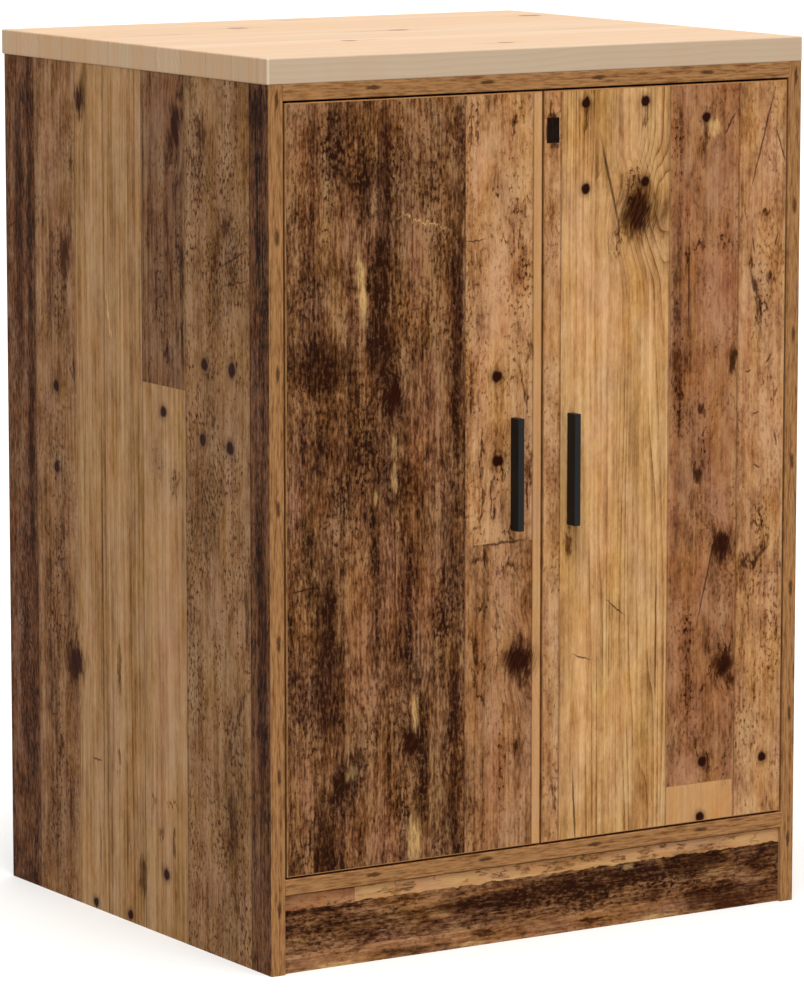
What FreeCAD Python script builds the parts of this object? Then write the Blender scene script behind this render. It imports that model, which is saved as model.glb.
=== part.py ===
import FreeCAD, Part

# Two-door floor cabinet for a garage: a carcass of banded boards under a solid pine worktop, with inset doors
# on concealed single-axis cup hinges and flat-pack joinery inside.
# Millimetres, +Z up, front towards -Y. The origin is on the floor under the middle of the whole object.

import os

from FreeCAD import Placement, Rotation, Vector

# Overall size
TOTAL_HEIGHT = 850.0
WORKTOP_WIDTH = 600.0
WORKTOP_DEPTH = 510.0

# Worktop of edge-glued pine
WORKTOP_THICKNESS = 24.0
WORKTOP_EDGE_RADIUS = 1.5
WORKTOP_SIDE_OVERHANG = 1.0
WORKTOP_BACK_OVERHANG = 4.0

# Boards, and the thin bands on the edges that show
BOARD_THICKNESS = 15.0
BAND_THICKNESS = 1.0
BAND_EDGE_RADIUS = 0.8

# Back board, nailed on from behind
BACK_BOARD_THICKNESS = 3.0
BACK_BOARD_INSET = 3.0

# Plinth under the bottom board
PLINTH_HEIGHT = 75.0
PLINTH_SETBACK = 4.0

# Shelf, its pins, and the rows of holes that the pins can move to
SHELF_BOTTOM_HEIGHT = 435.0
SHELF_FRONT_SETBACK = 60.0
SHELF_BACK_GAP = 0.5
SHELF_SIDE_GAP = 1.0
PIN_RADIUS = 2.5
PIN_LENGTH_IN_BOARD = 8.0
PIN_END_ROOM = 1.0
PIN_COLLAR_LIP = 1.5
PIN_COLLAR_THICKNESS = 0.8
PIN_TONGUE_LENGTH = 9.0
PIN_TONGUE_WIDTH = 8.0
PIN_TONGUE_HEIGHT = 5.0
PIN_FRONT_INSET = 110.0
PIN_BACK_INSET = 70.0
PIN_ROW_PITCH = 32.0
PIN_ROW_STEPS = (-2, -1, 0, 1, 2)

# Doors, inset between the boards
DOOR_GAP = 2.0
DOOR_SWING_CLEARANCE = 0.45

# Bar handles, screwed on from behind the door
HANDLE_WIDTH = 7.0
HANDLE_PROJECTION = 13.0
HANDLE_EDGE_RADIUS = 0.8
HANDLE_FROM_DOOR_EDGE = 31.0
HANDLE_HOLE_SPACING = 96.0
HANDLE_END_PAST_HOLE = 5.5
HANDLE_SCREW_RADIUS = 2.0
HANDLE_SCREW_BITE = 7.0
HANDLE_SCREW_END_ROOM = 1.0
HANDLE_SCREW_HEAD_RADIUS = 4.0
HANDLE_SCREW_HEAD_HEIGHT = 2.2

# Hinge cups, let into the door's back
HINGE_FROM_DOOR_END = 90.0
CUP_RADIUS = 17.5
CUP_DEPTH = 11.0
CUP_WALL = 0.9
CUP_CENTRE_PAST_AXIS = 4.0
CUP_FLANGE_LIP = 3.0
CUP_FLANGE_THICKNESS = 1.0
CUP_EAR_THICKNESS = 3.0
CUP_WING_RADIUS = 5.5
CUP_SCREW_PAST_CENTRE = 6.0
CUP_SCREW_PAST_RIM = 6.5
CUP_SCREW_RADIUS = 1.75
CUP_SCREW_LENGTH = 9.5
CUP_SCREW_HEAD_RADIUS = 3.2
CUP_SCREW_HEAD_HEIGHT = 1.6

# Hinge pins and arms
HINGE_PIN_RADIUS = 1.6
HINGE_PIN_PLAY = 0.05
HINGE_SIDE_PLAY = 0.5
KNUCKLE_WALL = 1.3
KNUCKLE_FLOOR_GAP = 0.5
ARM_WIDTH = 14.0
ARM_THICKNESS = 2.5
ARM_BEND_PAST_EDGE = 1.0
ARM_SCREW_RADIUS = 2.2
ARM_SCREW_HEAD_RADIUS = 3.8
ARM_SCREW_HEAD_HEIGHT = 1.8
ARM_SCREW_FROM_PLATE_END = 11.0
ARM_SCREW_END_ROOM = 1.0

# Hinge plates on the side boards
PLATE_HEIGHT = 6.0
PLATE_MARGIN = 1.0
PLATE_LENGTH = 48.0
PLATE_PAST_BEND = 9.5
PLATE_LAP = 3.0
WING_WIDTH = 14.0
WING_THICKNESS = 2.5
WING_PAST_SCREW = 8.0
WING_SCREW_SPACING = 32.0
WING_SCREW_RADIUS = 2.0
WING_SCREW_LENGTH = 13.0
WING_SCREW_HEAD_RADIUS = 3.6
WING_SCREW_HEAD_DEPTH = 1.8

# Double magnetic catch under the top board, and a steel strike on each door
CATCH_DEPTH = 18.0
CATCH_HEIGHT = 14.0
CATCH_EDGE_RADIUS = 1.0
CATCH_PAST_SCREW = 5.0
CATCH_SCREW_PAST_MAGNET = 5.0
CATCH_SCREW_RADIUS = 1.75
CATCH_SCREW_BITE = 9.0
CATCH_SCREW_HEAD_RADIUS = 3.2
CATCH_SCREW_HEAD_HEIGHT = 1.6
MAGNET_WIDTH = 14.0
MAGNET_HEIGHT = 8.0
MAGNET_DEPTH = 10.0
MAGNET_PROUD = 1.0
MAGNET_GAP = 12.0
STRIKE_WIDTH = 18.0
STRIKE_HEIGHT = 10.0
STRIKE_THICKNESS = 1.5
STRIKE_CORNER_RADIUS = 2.0
STRIKE_AIR_GAP = 0.3
STRIKE_SCREW_RADIUS = 1.5
STRIKE_SCREW_LENGTH = 10.0
STRIKE_SCREW_HEAD_RADIUS = 2.7
STRIKE_SCREW_HEAD_DEPTH = 1.2

# Cam fittings that pull the boards together, and the dowels beside them
CAM_RADIUS = 7.5
CAM_SKIN = 3.0
CAM_FROM_BOARD_END = 34.0
CAM_SLOT_ROOM = 0.5
CAM_CROSS_WIDTH = 1.6
CAM_CROSS_LENGTH = 9.0
CAM_CROSS_DEPTH = 2.5
BOLT_THREAD_RADIUS = 3.0
BOLT_THREAD_LENGTH = 11.0
BOLT_SHANK_RADIUS = 2.4
BOLT_HEAD_RADIUS = 3.3
BOLT_HEAD_LENGTH = 4.0
BOLT_HOLE_ROOM = 0.7
DOWEL_RADIUS = 4.0
DOWEL_LENGTH = 30.0
DOWEL_LENGTH_IN_SIDE = 10.0
DOWEL_END_ROOM = 0.5
DOWEL_FROM_BOLT = 32.0
DOWEL_FROM_PLINTH_EDGE = 15.5
JOINT_FROM_FRONT = 50.0
JOINT_FROM_BACK = 50.0

# Nails in the back board, and screws up into the worktop
NAIL_RADIUS = 0.7
NAIL_LENGTH = 20.0
NAIL_HEAD_RADIUS = 1.7
NAIL_HEAD_THICKNESS = 0.7
NAIL_END_MARGIN = 40.0
NAILS_PER_SIDE = 6
NAILS_PER_RAIL = 5
WORKTOP_SCREW_RADIUS = 2.0
WORKTOP_SCREW_BITE = 14.0
WORKTOP_SCREW_HEAD_RADIUS = 4.0
WORKTOP_SCREW_HEAD_HEIGHT = 2.2
WORKTOP_SCREW_FROM_SIDE = 75.0
WORKTOP_SCREW_FROM_EDGE = 70.0

# Screw details, as shares of the head or of the shank
RECESS_LENGTH_SHARE = 1.1
RECESS_WIDTH_SHARE = 0.28
RECESS_DEPTH_SHARE = 0.55
SCREW_TIP_LENGTH_SHARE = 1.8
SCREW_TIP_RADIUS_SHARE = 0.25

# Room round fixed pins and screws, how far cutting tools run past a face, and what counts as one place
FIT_CLEARANCE = 0.1
OVERRUN = 5.0
SAME_PLACE = 0.001

# Directions
ALONG_X = Vector(1, 0, 0)
ALONG_Y = Vector(0, 1, 0)
ALONG_Z = Vector(0, 0, 1)
SIDES = {"left": -1, "right": 1}

# Carcass places
CARCASS_WIDTH = WORKTOP_WIDTH - 2 * WORKTOP_SIDE_OVERHANG
CARCASS_DEPTH = WORKTOP_DEPTH - WORKTOP_BACK_OVERHANG
CARCASS_HEIGHT = TOTAL_HEIGHT - WORKTOP_THICKNESS
OUTER_X = CARCASS_WIDTH / 2
INNER_X = OUTER_X - BOARD_THICKNESS
FRONT_Y = HANDLE_PROJECTION - (WORKTOP_DEPTH + HANDLE_PROJECTION) / 2
CORE_FRONT_Y = FRONT_Y + BAND_THICKNESS
REAR_Y = FRONT_Y + CARCASS_DEPTH
TOP_BOARD_BOTTOM = CARCASS_HEIGHT - BOARD_THICKNESS
TOP_BOARD_MIDDLE = CARCASS_HEIGHT - BOARD_THICKNESS / 2
BOTTOM_BOARD_MIDDLE = PLINTH_HEIGHT + BOARD_THICKNESS / 2
BOTTOM_BOARD_TOP = PLINTH_HEIGHT + BOARD_THICKNESS
PLINTH_FRONT_Y = FRONT_Y + PLINTH_SETBACK
PLINTH_MIDDLE_Y = PLINTH_FRONT_Y + BOARD_THICKNESS / 2
PLINTH_BACK_Y = PLINTH_FRONT_Y + BOARD_THICKNESS
SHELF_FRONT_Y = FRONT_Y + SHELF_FRONT_SETBACK
JOINT_YS = (FRONT_Y + JOINT_FROM_FRONT, REAR_Y - JOINT_FROM_BACK)
CAM_HEIGHT = BOARD_THICKNESS - CAM_SKIN

# Door places, for the left door
DOOR_WIDTH = (2 * INNER_X - 3 * DOOR_GAP) / 2
DOOR_LEFT = -INNER_X + DOOR_GAP
DOOR_RIGHT = DOOR_LEFT + DOOR_WIDTH
DOOR_BOTTOM = BOTTOM_BOARD_TOP + DOOR_GAP
DOOR_TOP = TOP_BOARD_BOTTOM - DOOR_GAP
DOOR_MIDDLE = (DOOR_BOTTOM + DOOR_TOP) / 2
DOOR_BACK_Y = FRONT_Y + BOARD_THICKNESS
HANDLE_X = DOOR_RIGHT - HANDLE_FROM_DOOR_EDGE
HANDLE_LENGTH = HANDLE_HOLE_SPACING + 2 * HANDLE_END_PAST_HOLE
HINGE_HEIGHTS = {"lower": DOOR_BOTTOM + HINGE_FROM_DOOR_END, "upper": DOOR_TOP - HINGE_FROM_DOOR_END}

# Hinge places, for the left door: u runs from the door's hinged edge, v back from its front face.
# The axis lies above the cup's floor, and just far enough from the edge for the edge to swing past the side.
KNUCKLE_RADIUS = HINGE_PIN_RADIUS + KNUCKLE_WALL
CUP_FLOOR_V = BOARD_THICKNESS - CUP_DEPTH + CUP_WALL
AXIS_V = CUP_FLOOR_V + KNUCKLE_FLOOR_GAP + KNUCKLE_RADIUS
EDGE_REACH = max(AXIS_V, BOARD_THICKNESS - AXIS_V) - BAND_EDGE_RADIUS
EDGE_ROOM = DOOR_GAP - DOOR_SWING_CLEARANCE
AXIS_U = BAND_EDGE_RADIUS + (EDGE_REACH ** 2 - EDGE_ROOM ** 2) / (2 * EDGE_ROOM)
CUP_U = AXIS_U + CUP_CENTRE_PAST_AXIS
ARM_REACH = AXIS_U + ARM_BEND_PAST_EDGE
ARM_HALF_SLOT = ARM_WIDTH / 2 + HINGE_SIDE_PLAY
ARM_REST_U = PLATE_HEIGHT - DOOR_GAP + ARM_THICKNESS / 2
ARM_SCREW_LENGTH = ARM_THICKNESS + PLATE_HEIGHT - ARM_SCREW_END_ROOM
PLATE_FRONT_V = AXIS_V + ARM_REACH + PLATE_PAST_BEND
PLATE_BACK_V = PLATE_FRONT_V + PLATE_LENGTH
PLATE_MIDDLE_V = PLATE_FRONT_V + PLATE_LENGTH / 2

# Catch places
CATCH_MIDDLE = TOP_BOARD_BOTTOM - CATCH_HEIGHT / 2
CATCH_BOTTOM = TOP_BOARD_BOTTOM - CATCH_HEIGHT
MAGNET_FRONT_Y = DOOR_BACK_Y + STRIKE_THICKNESS + STRIKE_AIR_GAP
CATCH_FRONT_Y = MAGNET_FRONT_Y + MAGNET_PROUD
MAGNET_X = (MAGNET_WIDTH + MAGNET_GAP) / 2
CATCH_SCREW_X = MAGNET_X + MAGNET_WIDTH / 2 + CATCH_SCREW_PAST_MAGNET
CATCH_HALF_WIDTH = CATCH_SCREW_X + CATCH_PAST_SCREW


def box(low, high):
    """A block between two corners."""
    low = Vector(*low)
    size = Vector(*high) - low
    return Part.makeBox(size.x, size.y, size.z, low)


def rod(start, direction, radius, length):
    """A round bar from start along direction."""
    return Part.makeCylinder(radius, length, Vector(*start), direction)


def aimed(shape, place, direction):
    """A shape built along +Z, set at place and turned to point along direction."""
    turned = shape.copy()
    turned.Placement = Placement(Vector(*place), Rotation(ALONG_Z, direction))
    return turned


def fused(shapes):
    """Shapes joined into one solid, with no seams left between them."""
    return shapes[0].multiFuse(shapes[1:]).removeSplitter()


def handed(side, shape):
    """A left-hand shape, or its mirrored twin on the right."""
    if side == "left":
        return shape
    return shape.mirror(Vector(0, 0, 0), ALONG_X)


def edges_of(block, along, **faces):
    """A block's edges along one axis that lie on the faces given, such as y=FRONT_Y."""
    found = []
    for edge in block.Edges:
        ends = [vertex.Point for vertex in edge.Vertexes]
        run = ends[1] - ends[0]
        is_along = run.Length - abs(run.dot(along)) < SAME_PLACE
        offsets = [abs(getattr(end, axis) - place) for end in ends for axis, place in faces.items()]
        if is_along and all(offset < SAME_PLACE for offset in offsets):
            found.append(edge)
    return found


def cross_recess(head_radius, head_height, top):
    """The two bars that cut a screwdriver's cross into a head whose outer face is at z = top."""
    reach = head_radius * RECESS_LENGTH_SHARE / 2
    half = head_radius * RECESS_WIDTH_SHARE / 2
    floor = top + head_height * RECESS_DEPTH_SHARE
    return [
        box((-reach, -half, top - OVERRUN), (reach, half, floor)),
        box((-half, -reach, top - OVERRUN), (half, reach, floor)),
    ]


def pointed_shank(start, radius, length):
    """A wood screw's shank along +Z, from z = start to a point at z = length."""
    tip = radius * SCREW_TIP_LENGTH_SHARE
    shank = rod((0, 0, start), ALONG_Z, radius, length - tip - start)
    point = Part.makeCone(radius, radius * SCREW_TIP_RADIUS_SHARE, tip, Vector(0, 0, length - tip), ALONG_Z)
    return [shank, point]


def raised_screw(radius, length, head_radius, head_height):
    """A wood screw along +Z whose flat-bottomed head seats at z = 0."""
    head = rod((0, 0, -head_height), ALONG_Z, head_radius, head_height)
    body = fused([head] + pointed_shank(0, radius, length))
    return body.cut(cross_recess(head_radius, head_height, -head_height))


def machine_screw(radius, length, head_radius, head_height):
    """A blunt screw along +Z whose flat-bottomed head seats at z = 0."""
    head = rod((0, 0, -head_height), ALONG_Z, head_radius, head_height)
    body = fused([head, rod((0, 0, 0), ALONG_Z, radius, length)])
    return body.cut(cross_recess(head_radius, head_height, -head_height))


def sunk_screw(radius, length, head_radius, head_depth):
    """A countersunk wood screw along +Z whose head is flush with z = 0."""
    head = Part.makeCone(head_radius, radius, head_depth, Vector(0, 0, 0), ALONG_Z)
    body = fused([head] + pointed_shank(head_depth, radius, length))
    return body.cut(cross_recess(head_radius, head_depth, 0))


def hole(place, direction, radius, length):
    """A round hole from a seat inwards, open on the seat's side."""
    start = Vector(*place) - direction * OVERRUN
    return rod(start, direction, radius + FIT_CLEARANCE, length + FIT_CLEARANCE + OVERRUN)


def sunk_hole(place, direction, radius, length, head_radius, head_depth):
    """A hole with a countersink at its seat."""
    sink = Part.makeCone(head_radius + FIT_CLEARANCE, radius + FIT_CLEARANCE, head_depth)
    return fused([aimed(sink, place, direction), hole(place, direction, radius, length)])


def save(name, *solids):
    """Writes one named piece, or a group of like pieces, as a STEP file."""
    shape = solids[0] if len(solids) == 1 else Part.makeCompound(list(solids))
    shape.exportStep(os.path.join("parts", name + ".step"))


# Joinery: a bolt in the side board reaches into the end of each board that it carries, where a cam grips it
def joints():
    """Every cam joint: the board's name, side sign, bolt depth and height, cam seat and cam direction."""
    found = []
    for sign in SIDES.values():
        cam_x = sign * (INNER_X - CAM_FROM_BOARD_END)
        for y in JOINT_YS:
            found.append(("top", sign, y, TOP_BOARD_MIDDLE, (cam_x, y, CARCASS_HEIGHT), -ALONG_Z))
            found.append(("bottom", sign, y, BOTTOM_BOARD_MIDDLE, (cam_x, y, PLINTH_HEIGHT), ALONG_Z))
        middle = PLINTH_HEIGHT / 2
        found.append(("plinth", sign, PLINTH_MIDDLE_Y, middle, (cam_x, PLINTH_BACK_Y, middle), -ALONG_Y))
    return found


def dowel_places():
    """Every dowel: the board's name, side sign, depth and height."""
    found = []
    for sign in SIDES.values():
        for board, z in (("top", TOP_BOARD_MIDDLE), ("bottom", BOTTOM_BOARD_MIDDLE)):
            found.append((board, sign, JOINT_YS[0] + DOWEL_FROM_BOLT, z))
            found.append((board, sign, JOINT_YS[1] - DOWEL_FROM_BOLT, z))
        for z in (DOWEL_FROM_PLINTH_EDGE, PLINTH_HEIGHT - DOWEL_FROM_PLINTH_EDGE):
            found.append(("plinth", sign, PLINTH_MIDDLE_Y, z))
    return found


def cam_bolt(sign, y, z):
    """A bolt screwed into the side board, with its head in the middle of its cam."""
    seat = (sign * INNER_X, y, z)
    inward = ALONG_X * -sign
    reach = CAM_FROM_BOARD_END + BOLT_HEAD_LENGTH / 2
    head_start = (sign * (INNER_X - reach + BOLT_HEAD_LENGTH), y, z)
    return fused([
        rod(seat, -inward, BOLT_THREAD_RADIUS, BOLT_THREAD_LENGTH),
        rod(seat, inward, BOLT_SHANK_RADIUS, reach),
        rod(head_start, inward, BOLT_HEAD_RADIUS, BOLT_HEAD_LENGTH),
    ])


def cam_lock(sign, y, z, place, direction):
    """A cam with a cross in its face and a slot in its side that takes the bolt's head."""
    half = BOLT_HEAD_RADIUS + CAM_SLOT_ROOM
    cam_x = sign * (INNER_X - CAM_FROM_BOARD_END)
    past_head = cam_x - sign * (BOLT_HEAD_LENGTH / 2 + CAM_SLOT_ROOM)
    past_rim = cam_x + sign * (CAM_RADIUS + OVERRUN)
    slot = box((min(past_head, past_rim), y - half, z - half), (max(past_head, past_rim), y + half, z + half))
    reach = CAM_CROSS_LENGTH / 2
    width = CAM_CROSS_WIDTH / 2
    bars = [
        box((-reach, -width, -OVERRUN), (reach, width, CAM_CROSS_DEPTH)),
        box((-width, -reach, -OVERRUN), (width, reach, CAM_CROSS_DEPTH)),
    ]
    cross = [aimed(bar, place, direction) for bar in bars]
    return rod(place, direction, CAM_RADIUS, CAM_HEIGHT).cut([slot] + cross)


def board_end_holes(board):
    """The cam, bolt and dowel holes in the ends of one board."""
    cuts = []
    for name, sign, y, z, place, direction in joints():
        if name == board:
            end = (sign * INNER_X, y, z)
            cuts.append(hole(place, direction, CAM_RADIUS, CAM_HEIGHT))
            cuts.append(hole(end, ALONG_X * -sign, BOLT_HEAD_RADIUS + BOLT_HOLE_ROOM, CAM_FROM_BOARD_END))
    for name, sign, y, z in dowel_places():
        if name == board:
            depth = DOWEL_LENGTH - DOWEL_LENGTH_IN_SIDE + DOWEL_END_ROOM
            cuts.append(hole((sign * INNER_X, y, z), ALONG_X * -sign, DOWEL_RADIUS, depth))
    return cuts


def side_joint_holes(side_sign):
    """The bolt and dowel holes in a side board's inner face."""
    outward = ALONG_X * side_sign
    cuts = []
    for _, sign, y, z, _, _ in joints():
        if sign == side_sign:
            cuts.append(hole((sign * INNER_X, y, z), outward, BOLT_THREAD_RADIUS, BOLT_THREAD_LENGTH))
    for _, sign, y, z in dowel_places():
        if sign == side_sign:
            depth = DOWEL_LENGTH_IN_SIDE + DOWEL_END_ROOM
            cuts.append(hole((sign * INNER_X, y, z), outward, DOWEL_RADIUS, depth))
    return cuts


def save_joinery():
    save("cam_bolts", *[cam_bolt(sign, y, z) for _, sign, y, z, _, _ in joints()])
    save("cam_locks", *[cam_lock(*joint) for _, *joint in joints()])
    dowels = []
    for _, sign, y, z in dowel_places():
        outer_end = (sign * (INNER_X + DOWEL_LENGTH_IN_SIDE), y, z)
        dowels.append(rod(outer_end, ALONG_X * -sign, DOWEL_RADIUS, DOWEL_LENGTH))
    save("wood_dowels", *dowels)


# Nails through the back board
def even_steps(low, high, count):
    """Places spread evenly from low to high."""
    return [low + (high - low) * i / (count - 1) for i in range(count)]


def nail_places():
    """Every nail's seat on the back board."""
    side_x = OUTER_X - BOARD_THICKNESS / 2
    side_zs = even_steps(PLINTH_HEIGHT + NAIL_END_MARGIN, CARCASS_HEIGHT - NAIL_END_MARGIN, NAILS_PER_SIDE)
    rail_xs = even_steps(NAIL_END_MARGIN - INNER_X, INNER_X - NAIL_END_MARGIN, NAILS_PER_RAIL)
    spots = [(x, z) for x in (-side_x, side_x) for z in side_zs]
    spots += [(x, z) for z in (BOTTOM_BOARD_MIDDLE, TOP_BOARD_MIDDLE) for x in rail_xs]
    return [(x, REAR_Y + BACK_BOARD_THICKNESS, z) for x, z in spots]


def nail(place):
    """A flat-headed nail driven forward through the back board."""
    head = rod(place, ALONG_Y, NAIL_HEAD_RADIUS, NAIL_HEAD_THICKNESS)
    return fused([head, rod(place, -ALONG_Y, NAIL_RADIUS, NAIL_LENGTH)])


def nail_holes():
    return [hole(place, -ALONG_Y, NAIL_RADIUS, NAIL_LENGTH) for place in nail_places()]


# Carcass boards
def front_band(low_x, high_x, low_z, high_z, y):
    """A thin band on a board's front edge, with its two long front edges eased."""
    strip = box((low_x, y, low_z), (high_x, y + BAND_THICKNESS, high_z))
    along = ALONG_Z if high_z - low_z > high_x - low_x else ALONG_X
    return strip.makeFillet(BAND_EDGE_RADIUS, edges_of(strip, along, y=y))


def shelf_pin_places(sign):
    """Where the pins of one side meet its inner face, under the shelf."""
    z = SHELF_BOTTOM_HEIGHT - PIN_TONGUE_HEIGHT / 2
    return [(sign * INNER_X, y, z) for y in (SHELF_FRONT_Y + PIN_FRONT_INSET, REAR_Y - PIN_BACK_INSET)]


def side_board(side, sign):
    """A side board with every hole in its inner face and rear edge."""
    low_x, high_x = sorted((sign * INNER_X, sign * OUTER_X))
    board = box((low_x, CORE_FRONT_Y, 0), (high_x, REAR_Y, CARCASS_HEIGHT))
    cuts = side_joint_holes(sign) + nail_holes()
    for x, y, z in shelf_pin_places(sign):
        for step in PIN_ROW_STEPS:
            place = (x, y, z + step * PIN_ROW_PITCH)
            cuts.append(hole(place, ALONG_X * sign, PIN_RADIUS, PIN_LENGTH_IN_BOARD + PIN_END_ROOM))
    for height in HINGE_HEIGHTS.values():
        cuts += [handed(side, cut) for cut in wing_screw_holes(height)]
    return board.cut(cuts)


def save_carcass():
    for side, sign in SIDES.items():
        low_x, high_x = sorted((sign * INNER_X, sign * OUTER_X))
        save(side + "_side_board", side_board(side, sign))
        save(side + "_side_edge_band", front_band(low_x, high_x, 0, CARCASS_HEIGHT, FRONT_Y))
    save("top_edge_band", front_band(-INNER_X, INNER_X, TOP_BOARD_BOTTOM, CARCASS_HEIGHT, FRONT_Y))
    save("bottom_edge_band", front_band(-INNER_X, INNER_X, PLINTH_HEIGHT, BOTTOM_BOARD_TOP, FRONT_Y))

    top = box((-INNER_X, CORE_FRONT_Y, TOP_BOARD_BOTTOM), (INNER_X, REAR_Y, CARCASS_HEIGHT))
    screw_holes = worktop_screw_holes() + catch_screw_holes()
    save("top_board", top.cut(board_end_holes("top") + screw_holes + nail_holes()))
    bottom = box((-INNER_X, CORE_FRONT_Y, PLINTH_HEIGHT), (INNER_X, REAR_Y, BOTTOM_BOARD_TOP))
    save("bottom_board", bottom.cut(board_end_holes("bottom") + nail_holes()))
    plinth = box((-INNER_X, PLINTH_FRONT_Y, 0), (INNER_X, PLINTH_BACK_Y, PLINTH_HEIGHT))
    save("plinth", plinth.cut(board_end_holes("plinth")))

    back_x = OUTER_X - BACK_BOARD_INSET
    back_top = CARCASS_HEIGHT - BACK_BOARD_INSET
    back = box((-back_x, REAR_Y, PLINTH_HEIGHT), (back_x, REAR_Y + BACK_BOARD_THICKNESS, back_top))
    save("back_board", back.cut(nail_holes()))
    save("back_board_nails", *[nail(place) for place in nail_places()])


# Worktop, held by screws from below
def worktop_screw_places():
    x = INNER_X - WORKTOP_SCREW_FROM_SIDE
    ys = (FRONT_Y + WORKTOP_SCREW_FROM_EDGE, REAR_Y - WORKTOP_SCREW_FROM_EDGE)
    return [(sign * x, y, TOP_BOARD_BOTTOM) for sign in SIDES.values() for y in ys]


def worktop_screw_holes():
    length = BOARD_THICKNESS + WORKTOP_SCREW_BITE
    return [hole(place, ALONG_Z, WORKTOP_SCREW_RADIUS, length) for place in worktop_screw_places()]


def save_worktop():
    half = WORKTOP_WIDTH / 2
    slab = box((-half, FRONT_Y, CARCASS_HEIGHT), (half, FRONT_Y + WORKTOP_DEPTH, TOTAL_HEIGHT))
    slab = slab.makeFillet(WORKTOP_EDGE_RADIUS, slab.Edges)
    save("worktop", slab.cut(worktop_screw_holes()))
    length = BOARD_THICKNESS + WORKTOP_SCREW_BITE
    one = raised_screw(WORKTOP_SCREW_RADIUS, length, WORKTOP_SCREW_HEAD_RADIUS, WORKTOP_SCREW_HEAD_HEIGHT)
    save("worktop_screws", *[aimed(one, place, ALONG_Z) for place in worktop_screw_places()])


# Shelf
def shelf_pin(sign, place):
    """A pin in the side board with a collar, and a flat tongue under the shelf."""
    x, y, z = place
    inward = ALONG_X * -sign
    top = z + PIN_TONGUE_HEIGHT / 2
    low_x, high_x = sorted((x, x - sign * PIN_TONGUE_LENGTH))
    half = PIN_TONGUE_WIDTH / 2
    shank = rod(place, -inward, PIN_RADIUS, PIN_LENGTH_IN_BOARD)
    collar = rod(place, inward, PIN_RADIUS + PIN_COLLAR_LIP, PIN_COLLAR_THICKNESS)
    tongue = box((low_x, y - half, z - PIN_TONGUE_HEIGHT / 2), (high_x, y + half, top))
    above = box((low_x, y - OVERRUN, top), (high_x, y + OVERRUN, top + OVERRUN))
    return fused([shank, collar.cut(above), tongue])


def save_shelf():
    x = INNER_X - SHELF_SIDE_GAP
    top = SHELF_BOTTOM_HEIGHT + BOARD_THICKNESS
    core_low = (-x, SHELF_FRONT_Y + BAND_THICKNESS, SHELF_BOTTOM_HEIGHT)
    save("shelf", box(core_low, (x, REAR_Y - SHELF_BACK_GAP, top)))
    save("shelf_edge_band", front_band(-x, x, SHELF_BOTTOM_HEIGHT, top, SHELF_FRONT_Y))
    save("shelf_pins", *[shelf_pin(sign, p) for sign in SIDES.values() for p in shelf_pin_places(sign)])


# Hinges, drawn for the left door
def plan(u, v, z):
    """A place by its distance from the door's hinged edge and from its front face."""
    return Vector(DOOR_LEFT + u, FRONT_Y + v, z)


def hinge_axis_rod(height, radius, past=0):
    """A bar on the hinge axis, across both ears of the cup."""
    half = ARM_HALF_SLOT + CUP_EAR_THICKNESS + past
    return rod(plan(AXIS_U, AXIS_V, height - half), ALONG_Z, radius, 2 * half)


def arm_slot(height, floor_v):
    """The room through the cup's wall and the door's edge in which the arm swings."""
    low = plan(-OVERRUN, floor_v, height - ARM_HALF_SLOT)
    return box(low, plan(CUP_U, BOARD_THICKNESS + OVERRUN, height + ARM_HALF_SLOT))


def cup_screw_places(height):
    reach = CUP_RADIUS + CUP_SCREW_PAST_RIM
    v = BOARD_THICKNESS + CUP_FLANGE_THICKNESS
    return [plan(CUP_U + CUP_SCREW_PAST_CENTRE, v, height + way * reach) for way in (-1, 1)]


def cup_screw_holes(height):
    return [hole(place, -ALONG_Y, CUP_SCREW_RADIUS, CUP_SCREW_LENGTH) for place in cup_screw_places(height)]


def cup_flange(height):
    """The plate round the cup's mouth, with a wing out to each screw."""
    low, high = cup_screw_places(height)
    to_door = ALONG_Y * -CUP_FLANGE_THICKNESS
    aside = ALONG_X * CUP_WING_RADIUS
    centre = plan(CUP_U, BOARD_THICKNESS, height)
    disc = rod(centre, ALONG_Y, CUP_RADIUS + CUP_FLANGE_LIP, CUP_FLANGE_THICKNESS)
    ends = [rod(place, -ALONG_Y, CUP_WING_RADIUS, CUP_FLANGE_THICKNESS) for place in (low, high)]
    return [disc, box(low + to_door - aside, high + aside)] + ends


def cup_ears(height):
    """The two ears on the cup's floor that hold the hinge pin."""
    ears = []
    for low_z in (height - ARM_HALF_SLOT - CUP_EAR_THICKNESS, height + ARM_HALF_SLOT):
        foot = plan(AXIS_U - KNUCKLE_RADIUS, CUP_FLOOR_V, low_z)
        ears.append(box(foot, plan(AXIS_U + KNUCKLE_RADIUS, AXIS_V, low_z + CUP_EAR_THICKNESS)))
        ears.append(rod(plan(AXIS_U, AXIS_V, low_z), ALONG_Z, KNUCKLE_RADIUS, CUP_EAR_THICKNESS))
    return ears


def hinge_cup(height):
    """A pressed cup with its flange and ears, open towards the edge where the arm swings."""
    shell = rod(plan(CUP_U, BOARD_THICKNESS, height), -ALONG_Y, CUP_RADIUS, CUP_DEPTH)
    mouth = rod(plan(CUP_U, CUP_FLOOR_V, height), ALONG_Y, CUP_RADIUS - CUP_WALL, CUP_DEPTH)
    bowl = fused([shell] + cup_flange(height)).cut([mouth, arm_slot(height, CUP_FLOOR_V)])
    pin_bore = hinge_axis_rod(height, HINGE_PIN_RADIUS + HINGE_PIN_PLAY, OVERRUN)
    return fused([bowl] + cup_ears(height)).cut([pin_bore] + cup_screw_holes(height))


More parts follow.
